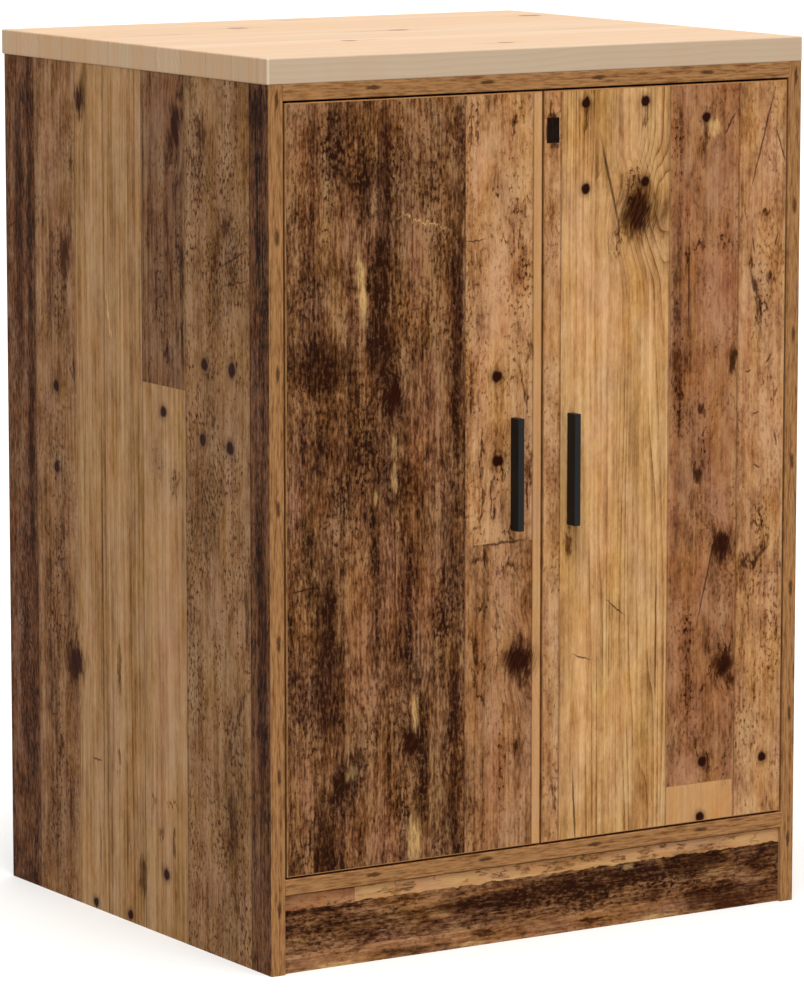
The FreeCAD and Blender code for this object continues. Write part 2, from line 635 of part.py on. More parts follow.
def strap(first, last, width):
    """A straight run of the arm in plan, rounded at both ends."""
    run = last - first
    aside = Vector(-run.y, run.x, 0).normalize() * (ARM_THICKNESS / 2)
    outline = Part.makePolygon([first + aside, first - aside, last - aside, last + aside, first + aside])
    plate = Part.Face(outline).extrude(ALONG_Z * width)
    return fused([plate] + [rod(end, ALONG_Z, ARM_THICKNESS / 2, width) for end in (first, last)])


def arm_screw_places(height):
    u = ARM_REST_U + ARM_THICKNESS / 2
    vs = (PLATE_FRONT_V + ARM_SCREW_FROM_PLATE_END, PLATE_BACK_V - ARM_SCREW_FROM_PLATE_END)
    return [plan(u, v, height) for v in vs]


def arm_screw_holes(height):
    return [hole(place, -ALONG_X, ARM_SCREW_RADIUS, ARM_SCREW_LENGTH) for place in arm_screw_places(height)]


def hinge_arm(height):
    """A cranked strap from a knuckle round the pin to the plate on the side board."""
    low_z = height - ARM_WIDTH / 2
    axis = plan(AXIS_U, AXIS_V, low_z)
    bend = plan(AXIS_U, AXIS_V + ARM_REACH, low_z)
    seat = plan(ARM_REST_U, PLATE_FRONT_V + PLATE_LAP, low_z)
    end = plan(ARM_REST_U, PLATE_BACK_V - PLATE_LAP, low_z)
    runs = [strap(*ends, ARM_WIDTH) for ends in ((axis, bend), (bend, seat), (seat, end))]
    knuckle = rod(axis, ALONG_Z, KNUCKLE_RADIUS, ARM_WIDTH)
    pin_bore = hinge_axis_rod(height, HINGE_PIN_RADIUS + HINGE_PIN_PLAY, OVERRUN)
    return fused(runs + [knuckle]).cut([pin_bore] + arm_screw_holes(height))


def wing_screw_places(height):
    half = WING_SCREW_SPACING / 2
    return [plan(WING_THICKNESS - DOOR_GAP, PLATE_MIDDLE_V, height + way * half) for way in (-1, 1)]


def wing_screw_holes(height):
    head = (WING_SCREW_HEAD_RADIUS, WING_SCREW_HEAD_DEPTH)
    places = wing_screw_places(height)
    return [sunk_hole(place, -ALONG_X, WING_SCREW_RADIUS, WING_SCREW_LENGTH, *head) for place in places]


def hinge_plate(height):
    """A mounting plate on the side board: a bed under the arm, with a wing above and below."""
    half = ARM_WIDTH / 2 + PLATE_MARGIN
    low = plan(-DOOR_GAP, PLATE_FRONT_V, height - half)
    bed = box(low, plan(PLATE_HEIGHT - DOOR_GAP, PLATE_BACK_V, height + half))
    reach = WING_SCREW_SPACING / 2 + WING_PAST_SCREW
    low = plan(-DOOR_GAP, PLATE_MIDDLE_V - WING_WIDTH / 2, height - reach)
    wing = box(low, plan(WING_THICKNESS - DOOR_GAP, PLATE_MIDDLE_V + WING_WIDTH / 2, height + reach))
    return fused([bed, wing]).cut(arm_screw_holes(height) + wing_screw_holes(height))


def save_hinges():
    head = (CUP_SCREW_HEAD_RADIUS, CUP_SCREW_HEAD_HEIGHT)
    cup_screw = raised_screw(CUP_SCREW_RADIUS, CUP_SCREW_LENGTH, *head)
    head = (WING_SCREW_HEAD_RADIUS, WING_SCREW_HEAD_DEPTH)
    wing_screw = sunk_screw(WING_SCREW_RADIUS, WING_SCREW_LENGTH, *head)
    head = (ARM_SCREW_HEAD_RADIUS, ARM_SCREW_HEAD_HEIGHT)
    arm_screw = machine_screw(ARM_SCREW_RADIUS, ARM_SCREW_LENGTH, *head)
    wing_screws = []
    arm_screws = []
    for side in SIDES:
        cup_screws = []
        for level, height in HINGE_HEIGHTS.items():
            name = f"{side}_{level}_hinge"
            save(name + "_cup", handed(side, hinge_cup(height)))
            save(name + "_pin", handed(side, hinge_axis_rod(height, HINGE_PIN_RADIUS)))
            save(name + "_arm", handed(side, hinge_arm(height)))
            save(name + "_plate", handed(side, hinge_plate(height)))
            cup_screws += [handed(side, aimed(cup_screw, p, -ALONG_Y)) for p in cup_screw_places(height)]
            wing_screws += [handed(side, aimed(wing_screw, p, -ALONG_X)) for p in wing_screw_places(height)]
            arm_screws += [handed(side, aimed(arm_screw, p, -ALONG_X)) for p in arm_screw_places(height)]
        save(side + "_hinge_cup_screws", *cup_screws)
    save("hinge_plate_screws", *wing_screws)
    save("hinge_arm_screws", *arm_screws)


# Doors, drawn for the left
def handle_screw_places():
    half = HANDLE_HOLE_SPACING / 2
    return [(HANDLE_X, DOOR_BACK_Y, DOOR_MIDDLE + way * half) for way in (-1, 1)]


def strike_screw_place():
    """The middle of the strike's face, opposite its magnet."""
    return (-MAGNET_X, DOOR_BACK_Y + STRIKE_THICKNESS, CATCH_MIDDLE)


def strike_screw_hole():
    head = (STRIKE_SCREW_HEAD_RADIUS, STRIKE_SCREW_HEAD_DEPTH)
    return sunk_hole(strike_screw_place(), -ALONG_Y, STRIKE_SCREW_RADIUS, STRIKE_SCREW_LENGTH, *head)


def door_cuts():
    """Every hole and pocket in the door and its bands."""
    cuts = [strike_screw_hole()]
    for height in HINGE_HEIGHTS.values():
        cuts.append(hole(plan(CUP_U, BOARD_THICKNESS, height), -ALONG_Y, CUP_RADIUS, CUP_DEPTH))
        cuts.append(arm_slot(height, BOARD_THICKNESS - CUP_DEPTH - FIT_CLEARANCE))
        cuts += cup_screw_holes(height)
    for place in handle_screw_places():
        cuts.append(hole(place, -ALONG_Y, HANDLE_SCREW_RADIUS, BOARD_THICKNESS + OVERRUN))
    return cuts


def door_board():
    """The board inside the door's bands."""
    low = (DOOR_LEFT + BAND_THICKNESS, FRONT_Y, DOOR_BOTTOM + BAND_THICKNESS)
    high = (DOOR_RIGHT - BAND_THICKNESS, DOOR_BACK_Y, DOOR_TOP - BAND_THICKNESS)
    return box(low, high).cut(door_cuts())


def door_bands():
    """Four bands round the door: two full-height uprights, and a strip between them at each end."""
    strips = []
    for x, inward in ((DOOR_LEFT, 1), (DOOR_RIGHT, -1)):
        low_x, high_x = sorted((x, x + inward * BAND_THICKNESS))
        strip = box((low_x, FRONT_Y, DOOR_BOTTOM), (high_x, DOOR_BACK_Y, DOOR_TOP))
        strips.append(strip.makeFillet(BAND_EDGE_RADIUS, edges_of(strip, ALONG_Z, x=x)))
    for z, inward in ((DOOR_BOTTOM, 1), (DOOR_TOP, -1)):
        low_z, high_z = sorted((z, z + inward * BAND_THICKNESS))
        low = (DOOR_LEFT + BAND_THICKNESS, FRONT_Y, low_z)
        strip = box(low, (DOOR_RIGHT - BAND_THICKNESS, DOOR_BACK_Y, high_z))
        strips.append(strip.makeFillet(BAND_EDGE_RADIUS, edges_of(strip, ALONG_X, z=z)))
    return [strip.cut(door_cuts()) for strip in strips]


def handle():
    """A plain bar on the door's face, with its outer edges eased and two blind screw holes."""
    half = HANDLE_WIDTH / 2
    front = FRONT_Y - HANDLE_PROJECTION
    low = (HANDLE_X - half, front, DOOR_MIDDLE - HANDLE_LENGTH / 2)
    bar = box(low, (HANDLE_X + half, FRONT_Y, DOOR_MIDDLE + HANDLE_LENGTH / 2))
    outer = edges_of(bar, ALONG_Y) + edges_of(bar, ALONG_X, y=front) + edges_of(bar, ALONG_Z, y=front)
    depth = HANDLE_SCREW_BITE + HANDLE_SCREW_END_ROOM
    holes = [hole((x, FRONT_Y, z), -ALONG_Y, HANDLE_SCREW_RADIUS, depth) for x, _, z in handle_screw_places()]
    return bar.makeFillet(HANDLE_EDGE_RADIUS, outer).cut(holes)


def strike():
    """A small steel plate on the door's back that the magnet pulls."""
    x, y, z = strike_screw_place()
    low = (x - STRIKE_WIDTH / 2, DOOR_BACK_Y, z - STRIKE_HEIGHT / 2)
    plate = box(low, (x + STRIKE_WIDTH / 2, y, z + STRIKE_HEIGHT / 2))
    return plate.makeFillet(STRIKE_CORNER_RADIUS, edges_of(plate, ALONG_Y)).cut(strike_screw_hole())


def save_doors():
    length = BOARD_THICKNESS + HANDLE_SCREW_BITE
    head = (HANDLE_SCREW_HEAD_RADIUS, HANDLE_SCREW_HEAD_HEIGHT)
    handle_screw = machine_screw(HANDLE_SCREW_RADIUS, length, *head)
    head = (STRIKE_SCREW_HEAD_RADIUS, STRIKE_SCREW_HEAD_DEPTH)
    strike_screw = sunk_screw(STRIKE_SCREW_RADIUS, STRIKE_SCREW_LENGTH, *head)
    strike_screw = aimed(strike_screw, strike_screw_place(), -ALONG_Y)
    for side in SIDES:
        save(side + "_door_board", handed(side, door_board()))
        save(side + "_door_edge_bands", *[handed(side, strip) for strip in door_bands()])
        save(side + "_handle", handed(side, handle()))
        screws = [aimed(handle_screw, place, -ALONG_Y) for place in handle_screw_places()]
        save(side + "_handle_screws", *[handed(side, one) for one in screws])
        save(side + "_strike", handed(side, strike()))
        save(side + "_strike_screw", handed(side, strike_screw))


# Magnetic catch
def magnet_block(sign, room):
    """One magnet or, with some room round it, the pocket that it sits in."""
    half_width = MAGNET_WIDTH / 2 + room
    half_height = MAGNET_HEIGHT / 2 + room
    low = (sign * MAGNET_X - half_width, MAGNET_FRONT_Y, CATCH_MIDDLE - half_height)
    return box(low, (sign * MAGNET_X + half_width, MAGNET_FRONT_Y + MAGNET_DEPTH, CATCH_MIDDLE + half_height))


def catch_screw_places():
    return [(sign * CATCH_SCREW_X, CATCH_FRONT_Y + CATCH_DEPTH / 2, CATCH_BOTTOM) for sign in SIDES.values()]


def catch_screw_holes():
    length = CATCH_HEIGHT + CATCH_SCREW_BITE
    return [hole(place, ALONG_Z, CATCH_SCREW_RADIUS, length) for place in catch_screw_places()]


def save_catch():
    low = (-CATCH_HALF_WIDTH, CATCH_FRONT_Y, CATCH_BOTTOM)
    housing = box(low, (CATCH_HALF_WIDTH, CATCH_FRONT_Y + CATCH_DEPTH, TOP_BOARD_BOTTOM))
    lower = edges_of(housing, ALONG_X, z=CATCH_BOTTOM) + edges_of(housing, ALONG_Y, z=CATCH_BOTTOM)
    housing = housing.makeFillet(CATCH_EDGE_RADIUS, lower)
    pockets = [magnet_block(sign, FIT_CLEARANCE) for sign in SIDES.values()]
    save("catch_housing", housing.cut(pockets + catch_screw_holes()))
    save("catch_magnets", *[magnet_block(sign, 0) for sign in SIDES.values()])
    length = CATCH_HEIGHT + CATCH_SCREW_BITE
    one = raised_screw(CATCH_SCREW_RADIUS, length, CATCH_SCREW_HEAD_RADIUS, CATCH_SCREW_HEAD_HEIGHT)
    save("catch_screws", *[aimed(one, place, ALONG_Z) for place in catch_screw_places()])


def print_hinge_axis():
    """Prints where the left door turns, which the right door mirrors."""
    axis = plan(AXIS_U, AXIS_V, 0)
    print(f"left hinge axis at x = {axis.x:.3f}, y = {axis.y:.3f}")


def main():
    os.makedirs("parts", exist_ok=True)
    save_carcass()
    save_joinery()
    save_worktop()
    save_shelf()
    save_hinges()
    save_doors()
    save_catch()
    print_hinge_axis()


main()
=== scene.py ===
"""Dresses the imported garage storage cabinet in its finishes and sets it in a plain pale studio."""

import math
from collections import namedtuple
from functools import partial

import bmesh
import bpy
from bpy.props import FloatProperty, FloatVectorProperty, PointerProperty
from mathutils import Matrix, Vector

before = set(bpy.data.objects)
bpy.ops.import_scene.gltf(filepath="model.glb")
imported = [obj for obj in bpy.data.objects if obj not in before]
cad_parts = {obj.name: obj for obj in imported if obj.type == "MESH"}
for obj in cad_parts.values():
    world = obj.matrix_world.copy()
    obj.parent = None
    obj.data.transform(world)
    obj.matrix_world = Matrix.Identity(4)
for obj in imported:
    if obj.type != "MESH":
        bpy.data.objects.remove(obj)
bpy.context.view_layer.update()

bl_info = {
    "name": "Garage storage cabinet",
    "version": (1, 0, 0),
    "blender": (4, 5, 0),
    "location": "3D View > Sidebar > Cabinet",
    "description": "Finishes and studio for a two-door storage cabinet of old-plank printed board",
    "category": "Object",
}

MM_PER_M = 1000.0


def linear(hex_colour):
    """Linear RGB of an sRGB hex value."""
    channels = [int(hex_colour[i : i + 2], 16) / 255 for i in (1, 3, 5)]
    return tuple(c / 12.92 if c <= 0.04045 else ((c + 0.055) / 1.055) ** 2.4 for c in channels)


def shade(name, hex_colour, description):
    """A colour that a user may change."""
    return FloatVectorProperty(
        name=name, description=description, subtype="COLOR", size=3, min=0.0, max=1.0, default=linear(hex_colour)
    )


def length(name, millimetres, description):
    """A length that a user may change, in metres."""
    return FloatProperty(
        name=name, description=description, unit="LENGTH", subtype="DISTANCE", min=0.0, default=millimetres / MM_PER_M
    )


# Each kind of printed plank: its dark, middle and light shade, how strongly each layer of the print shows on it from
# 0 to 1, how light it is, and which plank it is
LEVELS = ("dark", "mid", "light")
Kind = namedtuple("Kind", (*LEVELS, "fibre", "streak", "blotch", "lane", "ring", "fleck", "level", "seen"))
KINDS = {
    "stained": Kind("#281106", "#724829", "#ab7d54", 0.34, 0.26, 0.40, 0.28, 0.0, 0.70, 0.50, "dark stained plank"),
    "tan": Kind("#6b3d1a", "#b68052", "#d8a674", 0.16, 0.20, 0.38, 0.20, 0.06, 0.40, 0.56, "tan plank"),
    "pitted": Kind("#5a3014", "#b68052", "#d8a674", 0.18, 0.22, 0.40, 0.20, 0.06, 0.58, 0.57, "pitted tan plank"),
    "ochre": Kind("#84552a", "#ca975f", "#f0c186", 0.10, 0.24, 0.20, 0.20, 0.58, 0.08, 0.53, "ochre plank"),
    "rust": Kind("#4f2911", "#a26b45", "#bf8b60", 0.14, 0.20, 0.40, 0.22, 0.06, 0.42, 0.58, "red-brown plank"),
    "dun": Kind("#4f2c14", "#9c6a43", "#c39064", 0.20, 0.28, 0.36, 0.24, 0.08, 0.40, 0.55, "dull brown plank"),
    "insert": Kind("#b98655", "#cd9864", "#e0ad78", 0.08, 0.20, 0.08, 0.10, 0.22, 0.0, 0.56, "pale insert"),
    "soot": Kind("#170802", "#684025", "#8a6142", 0.36, 0.30, 0.30, 0.30, 0.0, 0.35, 0.44, "narrow sooty plank"),
    "char": Kind("#0c0503", "#22130b", "#4a2f1d", 0.10, 0.20, 0.20, 0.10, 0.0, 0.40, 0.30, "charred patch"),
    "worn": Kind("#583517", "#8a613c", "#a9815b", 0.22, 0.24, 0.42, 0.20, 0.0, 0.84, 0.62, "speckled side plank"),
    "grey": Kind("#381c0b", "#7f5638", "#94704f", 0.18, 0.36, 0.38, 0.22, 0.08, 0.35, 0.57, "grey-brown side plank"),
    "fawn": Kind("#714a27", "#a87d51", "#c29a70", 0.10, 0.28, 0.22, 0.24, 0.40, 0.06, 0.60, "fawn side planks"),
    "brown": Kind("#4c2a12", "#8c613d", "#ab825c", 0.20, 0.30, 0.38, 0.20, 0.08, 0.40, 0.56, "brown side plank"),
    "umber": Kind("#271105", "#6b4023", "#8c694d", 0.34, 0.16, 0.34, 0.22, 0.0, 0.40, 0.45, "stained rear side plank"),
}


class PlankColours(bpy.types.PropertyGroup):
    """Dark, middle and light shade of each kind of printed plank, and the colours of its marks."""

    __annotations__ = {
        f"{name}_{level}": shade(
            f"{name.capitalize()}, {level}", getattr(kind, level), f"{level.capitalize()} shade of the {kind.seen}"
        )
        for name, kind in KINDS.items()
        for level in LEVELS
    }
    mark: shade("Stains", "#2d0f01", "Stains, cracks and flecks on every plank")
    hole: shade("Nail holes", "#2a0a02", "Old nail holes")
    chip: shade("Chips", "#e0b273", "Fresh pale wood where the old skin is gone")


class FinishColours(bpy.types.PropertyGroup):
    """Colours of everything that isn't a printed plank."""

    band: shade("Edge band", "#a57649", "Printed plastic band on the boards' edges")
    band_dark: shade("Edge band, grain", "#774a26", "Printed grain of the band")
    band_dash: shade("Edge band, dashes", "#4a2c16", "Printed pore dashes of the band")
    pine: shade("Pine", "#d0b699", "Most of the worktop")
    pine_late: shade("Pine, late wood", "#bd9a72", "Growth lines of the worktop")
    pine_heart: shade("Pine, heartwood", "#cb9a6c", "Rosy streaks of the worktop")
    pine_knot: shade("Pine, knots", "#7a4a2a", "Knots of the worktop")
    pine_planed: shade("Pine, planed", "#d8c8b2", "Front and rear edges of the worktop")
    # Painted highlight down the worktop's upright corners, where light catches the eased edge
    pine_corner_highlight: shade("Pine, rubbed", "#f0e0c8", "Upright corners of the worktop")
    handle: shade("Handle", "#0d0e10", "Powder coat of the handles")
    hardboard: shade("Hardboard", "#7d5c40", "Bare back board")
    chipboard: shade("Chipboard", "#b49467", "Board core in holes and cut edges")
    beech: shade("Beech", "#c89f74", "Dowels")
    nickel: shade("Nickel", "#b4b1a9", "Plating of hinges, screws and strikes")
    zinc: shade("Zinc alloy", "#98989a", "Cast cam locks and plates")
    plastic: shade("Plastic", "#4b3122", "Catch housing")
    magnet: shade("Magnet", "#2c2c2f", "Sintered ferrite")
    floor: shade("Floor", "#f4f4f2", "Studio floor")


class FinishSizes(bpy.types.PropertyGroup):
    """Real sizes behind the patterns and the studio."""

    fibre_width: length("Fibre width", 2.2, "Width of a printed wood fibre, drawn coarse enough to show")
    fibre_length: length("Fibre length", 12.0, "Length of a printed wood fibre")
    ring_spacing: length("Ring spacing", 5.2, "Distance between printed growth lines")
    nail_hole: length("Nail hole", 10.5, "Diameter of a printed nail hole")
    dash_spacing: length("Dash spacing", 125.0, "Repeat of the edge band's print")
    stave_width: length("Stave width", 46.0, "Width of the worktop's glued staves")
    floor_side: length("Floor side", 40000.0, "Side of the studio floor")


class CabinetLook(bpy.types.PropertyGroup):
    """All that a user may change."""

    planks: PointerProperty(type=PlankColours, name="Planks", description="Colours of the printed planks")
    finishes: PointerProperty(type=FinishColours, name="Finishes", description="Colours of the other finishes")
    sizes: PointerProperty(type=FinishSizes, name="Sizes", description="Sizes of the patterns and the studio")


# Layers of noise: width and length of one patch in millimetres, detail and roughness, and the noise values that come
# out as the darkest and the lightest
Layer = namedtuple("Layer", "wide long detail rough low high", defaults=(0.0, 1.0))
STREAK = Layer(4.8, 190.0, 3.0, 0.55, 0.32, 0.68)
BLOTCH = Layer(17.0, 40.0, 6.0, 0.68, 0.33, 0.67)
LANE = Layer(34.0, 420.0, 3.0, 0.50, 0.32, 0.68)
SPECK = Layer(3.2, 5.6, 3.0, 0.58)
CROWD = Layer(34.0, 70.0, 2.0, 0.50, 0.36, 0.64)
STRAND = Layer(2.6, 15.0, 3.0, 0.60, 0.40, 0.58)
LEAN = Layer(26.0, 110.0, 3.0, 0.60, 0.30, 0.70)
FULL = Layer(31.0, 90.0, 3.0, 0.60, 0.25, 0.75)
WANDER = Layer(48.0, 1100.0, 2.0, 0.50)
CLEAR = Layer(24.0, 500.0, 2.0, 0.50, 0.40, 0.62)
RAGGED = Layer(6.0, 20.0, 4.0, 0.60)

# The fibres' layer, whose width and length a user may change
FIBRE = (4.0, 0.62, 0.36, 0.64)

# How far a board's inner face is shifted along, and a plank's own wood by its seed, so that no print repeats, in mm
INNER_SHIFT = 85.0
OWN_WOOD = (3100.0, 5300.0, 0.0)

# How far the ragged layer pushes a mark's edge, in mm, and its share for drawn, frayed and ragged marks
RAGGED_PUSH = (16.0, 46.0, 0.0)
RAGGED_SHARES = (0.12, 0.45, 1.0)

# Core and edge of an oval mark, as shares of its half size: it covers fully inside the core and not past the edge.
# FAR is past every edge.
FAR = 9.0
SWIRL_FALL = (0.0, 2.6)
BEND_FALL = (0.3, 3.4)
SOFT_FALL = (0.2, 1.5)
STAIN_FALL = (0.5, 1.35)
HEART_FALL = (0.3, 1.7)
CORE_FALL = (0.35, 0.95)
CHIP_FALL = (0.3, 1.5)
CRACK_AND_SHADOW_FALL = (0.5, 1.3)
SUNK_FALL = (0.85, 1.12)
HALO_FALL = (0.9, 2.2)
HOLE_FALL = (0.7, 1.2)

# Growth lines: swirl at a knot in radians, lines that they wander over and bend by, power that thins the late wood,
# strength of the faintest, and what faded areas and painted light take away
SWIRL = 0.5
RING_WANDER, RING_BEND, RING_POWER, RING_LEAST, RING_FADE = 9.0, 3.2, 3.6, 0.05, -0.75

# How far each layer swings the tone to either side
SWING = 0.75

# Flecks: noise values where flecks, pits and pale fibres begin and are full, how crowds and smudges shift them, how
# strong pale fibres are, and what faded areas and painted light take away
FLECK_FROM, FLECK_FULL = 0.54, 0.70
PIT_FROM, PIT_FULL = 0.62, 0.76
GLINT_FROM, GLINT_FULL, GLINT = 0.44, 0.33, 0.4
CROWD_LOW, CROWD_HIGH, SMUDGE_CROWD, FLECK_FADE = -0.08, 0.05, 0.05, -0.5

# Hue drifts about Blender's middle value, 0.5, and saturation about 1
HUE_LOW, HUE_HIGH, HUE_FADE = 0.496, 0.504, -0.005
FULL_LOW, FULL_HIGH = 0.94, 1.06

# Strength of a mark between its strands, tones from which chips show less or more, and half a plank joint's width in mm
STRAND_LEAST = 0.25
CHIP_FIBRES = {"From Min": 0.25, "From Max": 0.8, "To Min": 0.45}
JOINT_HALF = 0.9

# Foil, band and pine: roughness at the darkest and the lightest tone, gloss, and relief in mm
FOIL_ROUGHNESS = {"To Min": 0.66, "To Max": 0.5}
SATIN_ROUGHNESS = {"To Min": 0.58, "To Max": 0.46}
FOIL_GLOSS, BAND_GLOSS, PINE_GLOSS = 0.04, 0.06, 0.15
FOIL_RELIEF, BAND_RELIEF, PINE_RELIEF = 0.12, 0.1, 0.08

# Chipboard: noise steps in a millimetre, and the noise values of the darkest and the lightest flake
FLAKES = {"Scale": 0.45, "Detail": 3.0, "Roughness": 0.7}
FLAKE_TONES = {"From Min": 0.3, "From Max": 0.7}

# A face looks along an axis when its normal's share on that axis is more than this
FACING = 0.5

# Marks that are placed one by one, in millimetres on a board's face. A nail's half sizes are shares of a nail hole's.
Plank = namedtuple("Plank", "start kind seed")
Insert = namedtuple("Insert", "left right low high kind seed")
Mark = namedtuple("Mark", "across along half_width half_length turn", defaults=(1.0, 1.0, 0.0))
MARKS = ("knots", "nails", "stains", "soft", "chips", "lines", "faded")
PLACE = "across along thick origin middle inner end ragged planks inserts"
Board = namedtuple("Board", (*PLACE.split(), *MARKS))


def marks(rows):
    """Marks from plain rows."""
    return [Mark(*row) for row in rows]


def board(planks, inserts=(), ragged=0.0, **fields):
    """A board with its plain rows turned into planks, inserts and marks."""
    fields.update({name: marks(fields.get(name, ())) for name in MARKS})
    planks, inserts = [Plank(*row) for row in planks], [Insert(*row) for row in inserts]
    return Board(planks=planks, inserts=inserts, ragged=ragged, **fields)


LEFT_DOOR = board(
    across="X", along="Z", thick="Y", origin=-282.0, middle=-241.0, inner="GREATER_THAN", end=281.0,
    planks=((0, "stained", 0.13), (195, "pitted", 0.47), (271, "insert", 0.71)),
    inserts=((195, 271, -20, 386, "dun", 0.31),),
    knots=((256, 272, 18, 19), (135, 204, 8, 13), (117, 532, 10, 14)),
    nails=((231, 544, 1.2, 1.2), (232, 464, 1.3, 1.1)),
    stains=(
        (107, 700, 8, 120), (187, 640, 6, 160), (44, 566, 36, 26), (42, 300, 13, 96), (62, 176, 10, 36, -38),
        (40, 116, 12, 36), (105, 580, 16, 40), (260, 533, 3, 9), (267, 566, 3, 11), (254, 191, 3, 7),
        (233, 168, 2, 6), (184, 180, 6, 110), (200, 775, 1.6, 26), (208, 770, 1.4, 20), (250, 778, 1.6, 14),
        (251, 700, 2.2, 6), (262, 692, 4, 3), (263, 706, 3, 3), (257, 676, 1.6, 9), (238, 672, 4, 2),
        (214, 480, 1.6, 16), (266, 520, 2, 5), (209, 250, 1.4, 26, 24), (246, 398, 10, 2, 4), (237, 456, 2, 10, 20),
        (226, 436, 1.6, 30), (214, 430, 1.6, 40), (268, 458, 2.4, 12), (266, 430, 1.6, 16), (244, 360, 14, 4, 4),
        (212, 372, 8, 5), (231, 300, 1.6, 40), (205, 290, 2, 24, 14),
    ),
    soft=(
        (52, 770, 24, 55), (199, 136, 11, 9), (100, 640, 22, 60), (130, 130, 10, 60), (80, 470, 50, 60),
        (112, 745, 56, 46), (205, 790, 6, 14), (250, 780, 2, 13), (255, 696, 11, 15), (247, 668, 6, 9),
        (260, 650, 8, 22), (231, 720, 5, 16), (170, 300, 12, 80), (228, 455, 6, 40), (215, 330, 10, 10),
        (236, 180, 5, 60), (212, 260, 6, 40),
    ),
    chips=(
        (82, 636, 5, 34, 6), (117, 488, 3, 10), (117, 455, 3, 12), (97, 440, 3, 6), (140, 233, 4, 16),
        (139, 113, 8, 22), (70, 184, 6, 6), (148, 694, 31, 0.8, -15),
    ),
    lines=((207, 673, 12, 0.8, 3), (240, 386, 24, 1.4, 3), (118, 380, 0.9, 60), (20, 360, 16, 0.9, 4)),
    faded=(
        (145, 655, 14, 60), (148, 500, 30, 80), (92, 330, 28, 70), (110, 112, 44, 26), (10, 440, 9, 60),
        (84, 650, 7, 46), (12, 778, 11, 34), (150, 330, 14, 70), (20, 170, 12, 40), (62, 690, 14, 40),
        (145, 760, 12, 40), (230, 230, 5, 130), (232, 610, 16, 60), (212, 740, 14, 40), (112, 372, 30, 55),
        (100, 275, 40, 45),
    ),
)

RIGHT_DOOR = board(
    across="X", along="Z", thick="Y", origin=1.0, middle=-241.0, inner="GREATER_THAN", end=281.0,
    planks=((0, "tan", 0.19), (19, "ochre", 0.83), (144, "rust", 0.37), (225, "tan", 0.59)),
    inserts=(
        (145, 223, 80, 130, "insert", 0.23), (3, 17, 760, 784, "char", 0.03), (226, 282, -20, 340, "pitted", 0.59),
    ),
    knots=((107, 691, 22, 24), (209, 361, 12, 16), (213, 243, 10, 14)),
    nails=(
        (47, 796), (115, 795), (186, 777), (47, 715), (115, 719), (187, 151),
        (259, 148), (185, 96),
    ),
    stains=(
        (219, 542, 4, 17), (182, 498, 5, 8), (179, 434, 6, 8), (242, 345, 13, 4, -25), (252, 352, 4, 10, -30),
        (244, 612, 5, 12), (250, 590, 2.4, 14, 8), (262, 622, 3, 6), (29, 380, 5, 12), (13, 135, 3, 11),
        (10, 788, 4, 6), (115, 781, 2, 12), (47, 782, 2, 10), (186, 760, 3, 12), (240, 632, 1.6, 7),
        (233, 683, 4, 3), (256, 682, 5, 3), (262, 735, 3, 2.4), (268, 505, 2, 5), (166, 644, 3, 7),
        (252, 374, 8, 3, 30), (262, 366, 2, 12, -20), (273, 276, 2, 14), (212, 250, 3, 22, -30),
        (190, 230, 1.6, 20, -24), (193, 152, 5, 2.4, -30), (181, 162, 1.6, 9, 20),
    ),
    soft=(
        (84, 664, 10, 24, -25), (155, 750, 7, 44), (155, 540, 9, 120), (184, 742, 8, 18), (206, 655, 14, 8),
        (180, 657, 10, 10), (252, 600, 13, 30), (253, 679, 12, 6), (258, 520, 10, 10), (169, 288, 9, 14),
        (254, 385, 12, 30), (220, 280, 5, 60), (102, 716, 16, 18), (10, 230, 5, 30), (200, 560, 8, 12),
        (185, 460, 5, 26), (214, 160, 6, 40), (170, 240, 8, 60),
    ),
    chips=((195, 767, 8, 9), (52, 802, 4, 5), (74, 236, 3, 16, -25), (60, 470, 12, 5)),
    lines=(
        (253, 753, 1.1, 54, -16), (167, 622, 1.3, 52), (131, 277, 1.1, 68), (37, 121, 1.2, 40, 3),
        (190, 330, 1.0, 50, -14), (84, 312, 14, 0.9, -38), (45, 268, 12, 0.8, -18), (75, 720, 1.6, 46, 14),
        (275, 745, 1.0, 22, 18), (253, 348, 16, 2.4, 42), (235, 341, 7, 2.6, -45), (243, 652, 1.0, 8, 12),
        (270, 655, 1.2, 7, -16), (238, 530, 4, 0.9, 20), (262, 540, 1.2, 7, -40), (247, 488, 5, 0.9, 8),
        (271, 462, 1.2, 9, 14), (249, 436, 4, 1.0, -14), (214, 770, 1.1, 14, -30), (220, 540, 4, 14, -14),
        (182, 497, 4, 6), (180, 433, 4, 8, 16), (245, 612, 3, 9, 20), (252, 590, 1.8, 12, 8), (263, 622, 2.4, 5),
        (9, 785, 7, 4, 6), (12, 758, 6, 4, -8), (3, 770, 1.6, 10),
    ),
    faded=(
        (62, 470, 20, 130), (46, 250, 14, 120), (80, 580, 18, 50), (205, 610, 16, 50), (238, 690, 8, 50),
        (252, 740, 24, 44), (234, 560, 8, 70), (256, 470, 20, 70), (200, 720, 12, 30), (195, 767, 10, 10),
        (55, 620, 36, 130), (120, 560, 12, 60),
    ),
)

